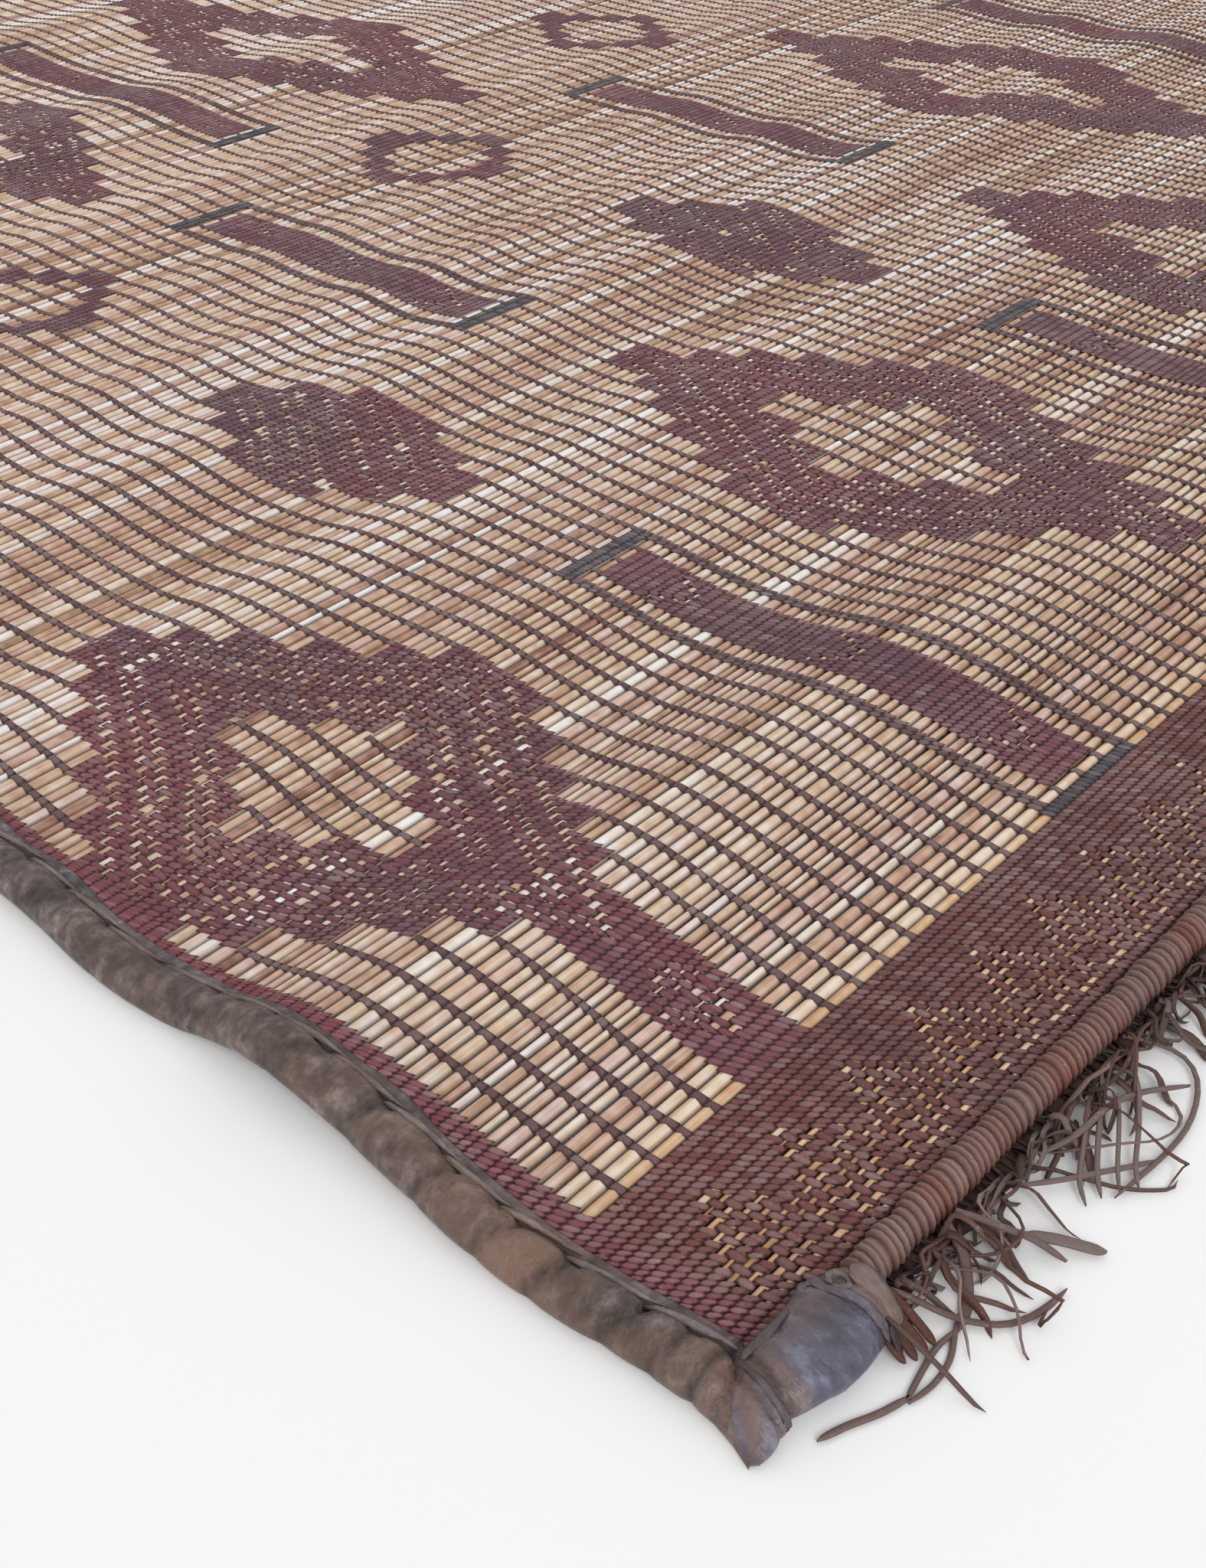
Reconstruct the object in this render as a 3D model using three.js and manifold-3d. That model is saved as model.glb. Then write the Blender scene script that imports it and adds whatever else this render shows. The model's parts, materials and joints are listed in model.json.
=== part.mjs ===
// A large reed mat bound with leather, lying on the floor in low folds.
// Millimetres. X runs across the mat, along its reeds. Y runs along the mat. The floor is z = 0.
import * as THREE from 'three';
import { mergeVertices } from 'three/addons/utils/BufferGeometryUtils.js';
import Module from 'manifold-3d';

// Driving dimensions
const MAT_WIDTH = 1800;
const BODY_LENGTH = 2700;
const PANEL_THICKNESS = 5;
const PANEL_COLUMNS = 6;
const CLEARANCE = 0.3;

const BINDING_WIDTH = 18;
const BINDING_HEIGHT = 13;
const BINDING_FOOT = 4;
const LIP_REACH = 7;
const LIP_THICKNESS = 1.2;
const LIP_CLEARANCE = 0.5;

const END_ROLL_WIDTH = 14;
const END_ROLL_HEIGHT = 12;
const END_ROLL_STEPS = 14;
const END_ROLL_SWELL = 0.05;

const CAP_LENGTH = 64;

const FRINGE_REACH = 50;
const FRINGE_STRANDS = 80;
const STRAND_WIDTH = 3;
const STRAND_THICKNESS = 1.6;
const STRAND_STEPS = 3;
const STRIP_WIDTH = 4;
const STRIP_THICKNESS = 3;
const ROOT_DEPTH = 2;

const SECTION_POINTS = 10;

// The folds. Each ridge runs along the reeds, right across the mat. crest is measured from the mat's front
// edge, near and far are the widths of its front and back slopes, and left, middle and right are its heights.
const RIDGES = [
  { crest: 165, near: 95, far: 76, left: 12, middle: 9, right: 9 },
  { crest: 352, near: 90, far: 78, left: 2, middle: 4, right: 4 },
  { crest: 443, near: 85, far: 48, left: 6, middle: 2, right: 2 },
  { crest: 585, near: 72, far: 52, left: 5, middle: 5, right: 6 },
  { crest: 684, near: 40, far: 32, left: 2, middle: 3, right: 2 },
  { crest: 780, near: 52, far: 34, left: 2, middle: 2, right: 3 },
  { crest: 915, near: 62, far: 38, left: 3, middle: 3, right: 3 },
  { crest: 1108, near: 105, far: 60, left: 6, middle: 5, right: 6 },
  { crest: 1330, near: 110, far: 70, left: 5, middle: 7, right: 5 },
  { crest: 1590, near: 130, far: 75, left: 7, middle: 5, right: 8 },
  { crest: 1850, near: 120, far: 70, left: 4, middle: 7, right: 6 },
  { crest: 2120, near: 130, far: 80, left: 7, middle: 6, right: 5 },
  { crest: 2420, near: 140, far: 80, left: 6, middle: 8, right: 7 },
];
const RIDGE_STATIONS = [-1, -2 / 3, -1 / 3, 0, 1 / 3, 2 / 3, 1];

// Where each long side draws in a little from its straight line. at is measured from the front edge.
const DRAWN_IN = [
  { side: -1, at: 330, reach: 260, depth: 3 },
  { side: -1, at: 1120, reach: 420, depth: 5 },
  { side: -1, at: 1990, reach: 380, depth: 4 },
  { side: 1, at: 640, reach: 400, depth: 5 },
  { side: 1, at: 1560, reach: 380, depth: 3 },
  { side: 1, at: 2250, reach: 300, depth: 4 },
];

// The corner cap, from its pointed outer tip towards the end roll. inner and outer are the two sides of the
// cap, measured away from the panel's edge.
const CAP_SECTIONS = [
  { along: 0, inner: 6, outer: 21, height: 8 },
  { along: 3, inner: 0.5, outer: 24, height: 12 },
  { along: 13, inner: 0, outer: 25.5, height: 15 },
  { along: 30, inner: 0, outer: 28, height: 17 },
  { along: 48, inner: 0, outer: 28, height: 17 },
  { along: 58, inner: 0.5, outer: 25, height: 15 },
  { along: CAP_LENGTH, inner: 2, outer: 21, height: 12.5 },
];

const halfWidth = MAT_WIDTH / 2;
const frontEdge = -BODY_LENGTH / 2;
const panelHalfWidth = halfWidth - BINDING_WIDTH - CLEARANCE;
const panelHalfLength = BODY_LENGTH / 2 - END_ROLL_WIDTH - CLEARANCE;

const leather = (color, roughness) => new THREE.MeshStandardMaterial({ color, roughness, metalness: 0 });
const reedStraw = new THREE.MeshStandardMaterial({ color: 0xc9ad88, roughness: 0.62, metalness: 0 });
const bindingLeather = leather(0x6a5a50, 0.6);
const whippingLeather = leather(0x6f4c42, 0.65);
const capLeather = leather(0x74707c, 0.5);
const fringeLeather = leather(0x6a4b42, 0.7);

// A smooth swell: 1 at the middle, 0 at -1 and 1 and beyond.
function swell(t) {
  return Math.abs(t) < 1 ? (1 + Math.cos(Math.PI * t)) / 2 : 0;
}

// The height of the folds over the floor at a place on the mat.
function lift(x, y) {
  const across = x / panelHalfWidth;
  const along = y - frontEdge;
  let height = 0;
  for (const { crest, near, far, left, middle, right } of RIDGES) {
    const slope = along < crest ? near : far;
    const crestHeight = middle + ((right - left) / 2) * across + ((left + right) / 2 - middle) * across ** 2;
    height += crestHeight * swell((along - crest) / slope);
  }
  return height;
}

// How far a long side draws in, towards the middle of the mat.
function drawnIn(side, y) {
  let depth = 0;
  for (const row of DRAWN_IN) {
    if (row.side === side) depth += row.depth * swell((y - frontEdge - row.at) / row.reach);
  }
  return depth;
}

// The places along the mat where the solids have a row of points: close together on a fold, none between.
function lengthStations() {
  const stations = [-panelHalfLength];
  for (const { crest, near, far } of RIDGES) {
    for (const step of RIDGE_STATIONS) {
      stations.push(frontEdge + crest + step * (step < 0 ? near : far));
    }
  }
  stations.push(panelHalfLength);
  return stations.sort((a, b) => a - b);
}
const stations = lengthStations();
const lastStation = stations.length - 1;

function signedVolume(geometry) {
  const { position } = geometry.attributes;
  const corners = [new THREE.Vector3(), new THREE.Vector3(), new THREE.Vector3()];
  let volume = 0;
  for (let i = 0; i < geometry.index.count; i += 3) {
    corners.forEach((corner, k) => corner.fromBufferAttribute(position, geometry.index.getX(i + k)));
    volume += corners[0].dot(corners[1].cross(corners[2])) / 6;
  }
  return volume;
}

// Welds a geometry, moves each point by a function, and leaves the faces pointing out.
function shaped(source, move) {
  source.deleteAttribute('normal');
  source.deleteAttribute('uv');
  const geometry = mergeVertices(source);
  const { position } = geometry.attributes;
  const point = new THREE.Vector3();
  for (let i = 0; i < position.count; i += 1) {
    position.setXYZ(i, ...move(point.fromBufferAttribute(position, i)));
  }
  if (signedVolume(geometry) < 0) {
    geometry.setIndex(Array.from(geometry.index.array).reverse());
  }
  geometry.computeVertexNormals();
  return geometry;
}

// The woven panel: one sheet of even thickness that follows the folds.
function panelGeometry() {
  const sheet = new THREE.BoxGeometry(
    2 * panelHalfWidth, lastStation, PANEL_THICKNESS, PANEL_COLUMNS, lastStation, 1);
  return shaped(sheet, ({ x, y, z }) => {
    const station = stations[Math.round(y + lastStation / 2)];
    const across = x / panelHalfWidth;
    const inward = drawnIn(Math.sign(x), station) * across;
    return [x - inward, station, z + PANEL_THICKNESS / 2 + lift(x, station)];
  });
}

// The side binding's section: a flat foot, an upright inner face, a lip over the panel and a round crown.
// Its first number runs inwards from the mat's outer edge, its second one up.
function bindingSection() {
  const lipFoot = PANEL_THICKNESS + LIP_CLEARANCE;
  const lipEnd = BINDING_WIDTH + LIP_REACH;
  const points = [
    new THREE.Vector2(BINDING_FOOT, 0),
    new THREE.Vector2(BINDING_WIDTH, 0),
    new THREE.Vector2(BINDING_WIDTH, lipFoot),
    new THREE.Vector2(lipEnd, lipFoot),
    new THREE.Vector2(lipEnd, lipFoot + LIP_THICKNESS),
  ];
  const crownStart = THREE.MathUtils.degToRad(12);
  const crownEnd = THREE.MathUtils.degToRad(225);
  const crownPoints = 7;
  for (let i = 0; i < crownPoints; i += 1) {
    const angle = THREE.MathUtils.lerp(crownStart, crownEnd, i / (crownPoints - 1));
    points.push(new THREE.Vector2(
      (BINDING_WIDTH / 2) * (1 + Math.cos(angle)),
      (BINDING_HEIGHT / 2) * (1 + Math.sin(angle))));
  }
  return new THREE.Shape(points);
}

function bindingGeometry(side) {
  const tube = new THREE.ExtrudeGeometry(bindingSection(), {
    depth: lastStation, steps: lastStation, bevelEnabled: false });
  return shaped(tube, ({ x, y, z }) => {
    const station = stations[Math.round(z)];
    const outward = halfWidth - x - drawnIn(side, station);
    return [side * outward, station, y + lift(side * panelHalfWidth, station)];
  });
}

// A round section that is flat where it lies on the floor: across from -1 to 1, up from 0 to 1.
function flatFootedPoint(angle) {
  return { across: Math.cos(angle), up: Math.max(0, (1 + 1.25 * Math.sin(angle)) / 2.25) };
}

function endRollSection() {
  const points = [];
  for (let i = 0; i < SECTION_POINTS; i += 1) {
    const { across, up } = flatFootedPoint((2 * Math.PI * (i + 0.5)) / SECTION_POINTS);
    points.push(new THREE.Vector2((across * END_ROLL_WIDTH) / 2, up * END_ROLL_HEIGHT));
  }
  return new THREE.Shape(points);
}

// The whipped roll across a short end, between the two caps. end is -1 at the front and 1 at the back.
function endRollGeometry(end) {
  const length = 2 * (halfWidth - CAP_LENGTH - CLEARANCE);
  const tube = new THREE.ExtrudeGeometry(endRollSection(), {
    depth: length, steps: END_ROLL_STEPS, bevelEnabled: false });
  const middle = BODY_LENGTH / 2 - END_ROLL_WIDTH / 2;
  return shaped(tube, ({ x, y, z }) => {
    const uneven = 1 - END_ROLL_SWELL * (1 + Math.sin(z / 61 + end)) / 2;
    return [z - length / 2, end * (middle + x * uneven), y * uneven];
  });
}

// A corner cap: a tube of leather across the corner that draws in to a point at the mat's outer edge.
function capGeometry(side, end) {
  const rows = CAP_SECTIONS.length - 1;
  const tube = new THREE.CylinderGeometry(1, 1, rows, SECTION_POINTS, rows);
  const innerLine = panelHalfLength + CLEARANCE;
  return shaped(tube, ({ x, y, z }) => {
    const { along, inner, outer, height } = CAP_SECTIONS[Math.round(rows / 2 - y)];
    const radius = Math.hypot(x, z);
    const { across, up } = flatFootedPoint(Math.atan2(z, x));
    const outward = (inner + outer) / 2 + radius * across * (outer - inner) / 2;
    const rise = radius > 0.5 ? up * height : height * 0.45;
    return [side * (halfWidth - along), end * (innerLine + outward), rise];
  });
}

const wasm = await Module();
wasm.setup();

function solidOf(geometry) {
  return new wasm.Manifold(new wasm.Mesh({
    numProp: 3,
    vertProperties: new Float32Array(geometry.attributes.position.array),
    triVerts: new Uint32Array(geometry.index.array),
  }));
}

function geometryOf(solid) {
  const mesh = solid.getMesh();
  const geometry = new THREE.BufferGeometry();
  geometry.setAttribute('position', new THREE.BufferAttribute(new Float32Array(mesh.vertProperties), 3));
  geometry.setIndex(Array.from(mesh.triVerts));
  geometry.computeVertexNormals();
  return geometry;
}

// A number between -1 and 1 that looks random and is the same each time.
function scatter(index, kind) {
  const wave = Math.sin(index * 12.9898 + kind * 78.233) * 43758.5453;
  return 2 * (wave - Math.floor(wave)) - 1;
}

// One thong of the fringe: a flat strip that leaves its root, wanders sideways and lies level on the floor.
function strandGeometry(index, rootX, rootY) {
  const reach = index % 9 === 4 ? FRINGE_REACH : FRINGE_REACH * (0.78 + 0.14 * scatter(index, 1));
  const drift = 5.5 * scatter(index, 2) - 2;
  const curl = 3 * scatter(index, 3);
  const strip = new THREE.BoxGeometry(STRAND_WIDTH, STRAND_STEPS, STRAND_THICKNESS, 1, STRAND_STEPS, 1);
  return shaped(strip, ({ x, y, z }) => {
    const t = 0.5 - y / STRAND_STEPS;
    const sideways = drift * t * t + curl * Math.sin(Math.PI * 1.5 * t);
    return [rootX + x + sideways, rootY - t * (reach + ROOT_DEPTH), z + STRAND_THICKNESS / 2];
  });
}

// The fringe of the front end: a narrow strip along the end roll with every strand's root fused into it.
function fringeGeometry() {
  const length = 2 * (halfWidth - CAP_LENGTH - 4);
  const stripInner = frontEdge - CLEARANCE;
  const strip = new THREE.BoxGeometry(length, STRIP_WIDTH, STRIP_THICKNESS);
  let fringe = solidOf(shaped(strip, ({ x, y, z }) => [
    x, stripInner - STRIP_WIDTH / 2 + y, z + STRIP_THICKNESS / 2]));
  const pitch = length / FRINGE_STRANDS;
  const rootY = stripInner - STRIP_WIDTH + ROOT_DEPTH;
  for (let i = 0; i < FRINGE_STRANDS; i += 1) {
    const rootX = -length / 2 + pitch * (i + 0.5);
    fringe = fringe.add(solidOf(strandGeometry(i, rootX, rootY)));
  }
  return geometryOf(fringe);
}

function piece(name, geometry, material) {
  const mesh = new THREE.Mesh(geometry, material);
  mesh.name = name;
  return mesh;
}

const mat = new THREE.Group();
mat.add(piece('mat_panel', panelGeometry(), reedStraw));
for (const [side, sideName] of [[-1, 'left'], [1, 'right']]) {
  mat.add(piece(`binding_${sideName}`, bindingGeometry(side), bindingLeather));
}
for (const [end, endName] of [[-1, 'front'], [1, 'back']]) {
  mat.add(piece(`end_roll_${endName}`, endRollGeometry(end), whippingLeather));
  for (const [side, sideName] of [[-1, 'left'], [1, 'right']]) {
    mat.add(piece(`cap_${endName}_${sideName}`, capGeometry(side, end), capLeather));
  }
}
const frontFringe = fringeGeometry();
mat.add(piece('fringe_front', frontFringe, fringeLeather));
const backFringe = piece('fringe_back', frontFringe, fringeLeather);
backFringe.rotation.z = Math.PI;
mat.add(backFringe);

export default mat;
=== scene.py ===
# %% [markdown]
# # A reed and leather mat
#
# The real mat is made of some five hundred stiff reeds that lie side by side. Leather thongs run along the
# mat and are twined over and under every reed. Where the maker wants a figure, the twining is packed close
# until no reed shows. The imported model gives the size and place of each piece. This script gives each its
# fine form.

# %% Load the frame
import json

import bpy
import numpy as np
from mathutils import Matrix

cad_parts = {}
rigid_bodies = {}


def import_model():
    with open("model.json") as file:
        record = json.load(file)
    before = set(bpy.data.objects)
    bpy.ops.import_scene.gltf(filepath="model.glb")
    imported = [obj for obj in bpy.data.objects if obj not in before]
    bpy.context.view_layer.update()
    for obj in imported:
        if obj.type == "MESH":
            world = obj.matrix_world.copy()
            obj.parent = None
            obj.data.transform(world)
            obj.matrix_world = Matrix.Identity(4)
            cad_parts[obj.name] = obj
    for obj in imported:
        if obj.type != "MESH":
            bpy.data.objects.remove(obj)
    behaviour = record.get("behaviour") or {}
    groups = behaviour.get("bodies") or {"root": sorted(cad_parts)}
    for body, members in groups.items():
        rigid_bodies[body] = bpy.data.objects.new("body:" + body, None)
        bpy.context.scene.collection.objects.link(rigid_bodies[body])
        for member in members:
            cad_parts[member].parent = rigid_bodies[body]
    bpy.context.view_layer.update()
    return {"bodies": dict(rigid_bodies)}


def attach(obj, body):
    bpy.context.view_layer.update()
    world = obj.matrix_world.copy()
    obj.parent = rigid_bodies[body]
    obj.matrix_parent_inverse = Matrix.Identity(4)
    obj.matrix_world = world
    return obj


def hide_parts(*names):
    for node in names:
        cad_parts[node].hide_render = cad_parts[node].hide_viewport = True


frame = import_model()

root_body = next(iter(frame["bodies"]))

# %% [markdown]
# ## Sizes
#
# The making below works in millimetres, as a maker would, and turns to metres where a mesh is filled. X
# runs across the mat, along its reeds, and Y along its length. "Along" counts from the mat's front edge.

# %% Sizes of the mat
HALF_WIDTH = 900.0
HALF_LENGTH = 1350.0
SIDES = (-1, "left", 100), (1, "right", 120)
ENDS = (-1, "front"), (1, "back")
PANEL_HALF_WIDTH = 881.7
PANEL_HALF_LENGTH = 1335.7
BAND_LENGTH = 66.0
REED_PITCH = 5.4
BAND_REED_PITCH = 4.25
COLUMN_COUNT = 551
COLUMN_PITCH = 2 * PANEL_HALF_WIDTH / COLUMN_COUNT
CELL_COLUMNS = 5
SELVEDGE_COLUMNS = 6
REED_TOP = 4.5
END_GAP = 0.3

# %% [markdown]
# ## The folds
#
# The mat lies in low ridges that run along the reeds, because a reed hardly bends and the thongs do. Each
# row of the table is one ridge. Its profile along the mat is half a cosine wave up and another down,
# steeper behind the crest than before it, and its height changes across the mat as a parabola through three
# heights.

# %% Folds of the mat
RIDGES = np.array([
    # crest, near slope, far slope, height left, height middle, height right
    (165, 95, 76, 6, 9, 9),
    (209, 62, 46, 8, 0, 0),
    (352, 90, 78, 2, 4, 4),
    (443, 85, 48, 6, 2, 2),
    (585, 72, 52, 5, 5, 6),
    (684, 40, 32, 2, 3, 2),
    (780, 52, 34, 2, 2, 3),
    (915, 62, 38, 3, 3, 3),
    (1108, 105, 60, 6, 5, 6),
    (1330, 110, 70, 5, 7, 5),
    (1590, 130, 75, 7, 5, 8),
    (1850, 120, 70, 4, 7, 6),
    (2120, 130, 80, 7, 6, 5),
    (2420, 140, 80, 6, 8, 7),
], dtype=[(name, float) for name in ("crest", "near", "far", "left", "middle", "right")])

DRAWN_IN = np.array([
    # side, place along, reach, depth: negative where the side bulges out
    (-1, 92, 85, -5),
    (-1, 287, 62, -4),
    (-1, 1120, 420, 5),
    (-1, 1990, 380, 4),
    (1, 640, 400, 5),
    (1, 1560, 380, 3),
    (1, 2250, 300, 4),
], dtype=[(name, float) for name in ("side", "at", "reach", "depth")])


def swell(t):
    """Half of one plus the cosine of pi t between -1 and 1, and nothing outside."""
    return np.where(np.abs(t) < 1, (1 + np.cos(np.pi * np.clip(t, -1, 1))) / 2, 0.0)


def lift(x, y):
    """The height of the folds: each ridge's height across the mat times its swell along the mat, summed."""
    across = x / PANEL_HALF_WIDTH
    along = y + HALF_LENGTH
    height = np.zeros(np.broadcast(x, y).shape)
    for r in RIDGES:
        crest = (r["middle"] + (r["right"] - r["left"]) / 2 * across
                 + ((r["left"] + r["right"]) / 2 - r["middle"]) * across ** 2)
        slope = np.where(along < r["crest"], r["near"], r["far"])
        height = height + crest * swell((along - r["crest"]) / slope)
    return height


def drawn_in(side, y):
    """How far a long side draws in at y: a sum of swells."""
    depth = np.zeros(np.shape(y))
    for row in DRAWN_IN[DRAWN_IN["side"] == side]:
        depth = depth + row["depth"] * swell((y + HALF_LENGTH - row["at"]) / row["reach"])
    return depth


def narrowed(x, y):
    """x moved towards the middle in proportion to how far out it is, as the sides draw in."""
    across = x / PANEL_HALF_WIDTH
    inward = np.where(across < 0, drawn_in(-1, y), drawn_in(1, y))
    return x - inward * across


print("highest fold, mm:", round(float(lift(np.zeros(500), np.linspace(-1335, 1335, 500)).max()), 1))

# %% [markdown]
# ## Meshes from arrays
#
# Every piece is worked out as an array of points and an array of faces. These helpers put them into a mesh
# in one go, which is quick even for a hundred thousand faces, and tie the piece to the frame.

# %% Mesh helpers
def fill_mesh(name, points, faces, values, closed=False):
    """An object from points in millimetres and faces as rows of equal length, with named point values.

    A value may be one number, or an array that broadcasts over the points. The faces of a closed piece are
    turned to point outwards: its volume, summed face by face, must be above 0."""
    mesh = bpy.data.meshes.new(name)
    shape = points.shape[:-1]
    points = np.asarray(points, dtype=np.float32).reshape(-1, 3) / 1000
    faces = np.asarray(faces, dtype=np.int32)
    corners = faces.shape[1]
    if closed:
        p = points.astype(float)[faces]
        volume = sum(np.einsum("ij,ij->", p[:, 0], np.cross(p[:, k], p[:, k + 1]))
                     for k in range(1, corners - 1))
        faces = faces[:, ::-1] if volume < 0 else faces
    mesh.vertices.add(len(points))
    mesh.vertices.foreach_set("co", points.ravel())
    mesh.loops.add(faces.size)
    mesh.loops.foreach_set("vertex_index", faces.ravel())
    mesh.polygons.add(len(faces))
    mesh.polygons.foreach_set("loop_start", np.arange(0, faces.size, corners, dtype=np.int32))
    mesh.update(calc_edges=True)
    mesh.polygons.foreach_set("use_smooth", np.ones(len(faces), dtype=bool))
    for key, value in values.items():
        layer = mesh.attributes.new(name=key, type="FLOAT", domain="POINT")
        layer.data.foreach_set("value", np.broadcast_to(value, shape).astype(np.float32).ravel())
    mesh.update()
    obj = bpy.data.objects.new(name, mesh)
    bpy.context.scene.collection.objects.link(obj)
    print(f"{name}: {len(faces) * (corners - 2)} triangles")
    return obj


def grid_faces(rows, columns, ring=False):
    """Quads between neighbours of a rows by columns grid. ring joins the last column to the first one."""
    r = np.arange(rows - 1)[:, None]
    c = np.arange(columns if ring else columns - 1)[None, :]
    after = (c + 1) % columns
    a, b = r * columns + c, r * columns + after
    return np.stack([a, b, b + columns, a + columns], axis=-1).reshape(-1, 4)


def repeated(faces, copies, points_each):
    """The faces of many alike grids that lie one after another in one array of points."""
    return (faces[None] + (np.arange(copies) * points_each)[:, None, None]).reshape(-1, faces.shape[1])


def finish_piece(obj, material, nodes=()):
    """Gives a piece its material and slot, rides it on the body, and hides the solids it stands for."""
    obj.data.materials.append(material)
    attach(obj, root_body)
    if nodes:
        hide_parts(*nodes)


def noise_line(rng, count, knots):
    """Smooth noise from about -1 to 1: random knots joined by a cosine blend, sampled at count places."""
    at = np.linspace(0, knots, count)
    values = rng.uniform(-1, 1, knots + 2)
    low = np.floor(at).astype(int)
    part = (1 - np.cos(np.pi * (at - low))) / 2
    return values[low] * (1 - part) + values[low + 1] * part


def noise_sheet(seed, u, v):
    """Smooth noise from about -1 to 1 over a plane: random knots at whole u and v, blended by cosines."""
    rng = np.random.default_rng(seed)
    knots = rng.uniform(-1, 1, (int(np.max(u)) + 3, int(np.max(v)) + 3))
    i, j = np.floor(u).astype(int), np.floor(v).astype(int)
    bu, bv = (1 - np.cos(np.pi * (u - i))) / 2, (1 - np.cos(np.pi * (v - j))) / 2
    near = knots[i, j] * (1 - bv) + knots[i, j + 1] * bv
    far = knots[i + 1, j] * (1 - bv) + knots[i + 1, j + 1] * bv
    return near * (1 - bu) + far * bu

# %% [markdown]
# ## Rows and columns
#
# The mat is a lattice, as every weave is. A row is one reed, and rows differ in width because reeds do.
# They are finer in the end bands. A column is one leather thong's width. In open work only every fifth
# column has a thong, and in close work all of them do. The columns also wander a little, as hand work does.

# %% Rows of reeds
def reed_rows():
    """Row edges: uneven widths drawn for each stretch and scaled so that they fill it exactly."""
    rng = np.random.default_rng(11)
    middle_length = 2 * (PANEL_HALF_LENGTH - BAND_LENGTH)
    edges = [-PANEL_HALF_LENGTH + END_GAP]
    band = BAND_LENGTH - END_GAP, BAND_REED_PITCH, 0.07
    for length, pitch, spread in (band, (middle_length, REED_PITCH, 0.17), band):
        widths = np.clip(rng.normal(1, spread, round(length / pitch)), 0.62, 1.4)
        edges.extend(edges[-1] + np.cumsum(widths) * length / widths.sum())
    return np.array(edges)


row_edges = reed_rows()
row_middle = (row_edges[1:] + row_edges[:-1]) / 2
row_half = (row_edges[1:] - row_edges[:-1]) / 2
row_count = len(row_middle)
band_rows = round((BAND_LENGTH - END_GAP) / BAND_REED_PITCH)
column_x = -PANEL_HALF_WIDTH + (np.arange(COLUMN_COUNT) + 0.5) * COLUMN_PITCH
print("reeds:", row_count, "of them in each end band:", band_rows)

# %% [markdown]
# ## The pattern
#
# The figures are the stepped ones of traditional mats: diamonds with an open cross, lozenges, bars with an
# outline, small rings, and a dotted band at each end. Each kind is worked out by a rule in cells and rows,
# with its place and height in a short table. A cell is five columns, from one thong of the open work to the
# next.

# %% Places of the figures
FIGURES = [
    # kind, place across, place along, half height: all from the mat's front left corner
    ("diamond", 133, 316, 152), ("bar", 340, 214, 138), ("diamond", 534, 318, 177),
    ("bar", 725, 221, 145), ("diamond", 902, 321, 177), ("bar", 1079, 219, 143),
    ("diamond", 1270, 320, 177), ("bar", 1449, 219, 143), ("diamond", 1667, 316, 152),
    ("lozenge", 333, 540, 92), ("lozenge", 724, 560, 101), ("lozenge", 1560, 560, 100),
    ("bar", 133, 735, 140), ("ring", 340, 830, 60), ("bar", 513, 730, 134),
    ("ring", 712, 835, 57), ("bar", 920, 732, 133), ("diamond", 1140, 633, 220),
    ("bar", 1332, 662, 142), ("ring", 1530, 790, 64), ("bar", 1670, 740, 140),
    ("diamond", 480, 1144, 192), ("bar", 648, 1146, 168), ("diamond", 822, 1140, 227),
    ("ring", 1052, 977, 77), ("bar", 1250, 1175, 140), ("diamond", 1470, 1075, 190),
    ("bar", 275, 1150, 160), ("lozenge", 120, 1150, 100),
]
EDGE_ACROSS, EDGE_ALONG, EDGE_HALF = FIGURES[0][1:]
# the same figures turned half round the mat's middle make its back half
FIGURES += [(kind, 2 * HALF_WIDTH - across, 2 * HALF_LENGTH - along, half)
            for kind, across, along, half in FIGURES]
OPEN, CLOSE, OUTLINE, SIDE_LINE = 0, 1, 2, 3
print("figures:", len(FIGURES))

# %% Rules for the figures
def near_figure(across, along, half):
    """Column and row offsets from the figure's middle, the rows it covers, and its half height in rows."""
    x = across - HALF_WIDTH
    cell = round((x - column_x[SELVEDGE_COLUMNS - 1]) / (COLUMN_PITCH * CELL_COLUMNS))
    middle_column = SELVEDGE_COLUMNS - 1 + cell * CELL_COLUMNS
    middle_row = int(np.argmin(np.abs(row_middle + HALF_LENGTH - along)))
    half_rows = round(half / REED_PITCH)
    columns = np.arange(COLUMN_COUNT)[None, :] - middle_column
    rows = np.arange(row_count)[:, None] - middle_row
    return columns, rows, half_rows


def draw_diamond(chart, dots, columns, rows, half_rows):
    """Six steps of one cell from a wide middle to the point, an open stepped cross, and dotted lines."""
    step = half_rows / 6.1
    cells = 6 - np.clip(np.ceil((np.abs(rows) - 1.15 * step) / step), 0, 6)
    inside = (np.abs(columns) <= cells * CELL_COLUMNS) & (np.abs(rows) <= half_rows)
    arm = 0.6 * half_rows - 6.5
    cross = ((np.abs(columns) < CELL_COLUMNS) & (np.abs(rows) <= arm)
             | (np.abs(columns) < 2 * CELL_COLUMNS) & (np.abs(rows) <= 0.53 * arm)
             | (np.abs(columns) < 3 * CELL_COLUMNS) & (np.abs(rows) <= max(1, 0.18 * arm)))
    chart[inside] = CLOSE
    chart[inside & cross] = OPEN
    slant = np.abs(columns) + np.round(np.abs(rows) * 30 / half_rows)
    dots |= inside & ~cross & np.isin(slant, (10, 12, 17, 19, 24, 26, 30))


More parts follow.
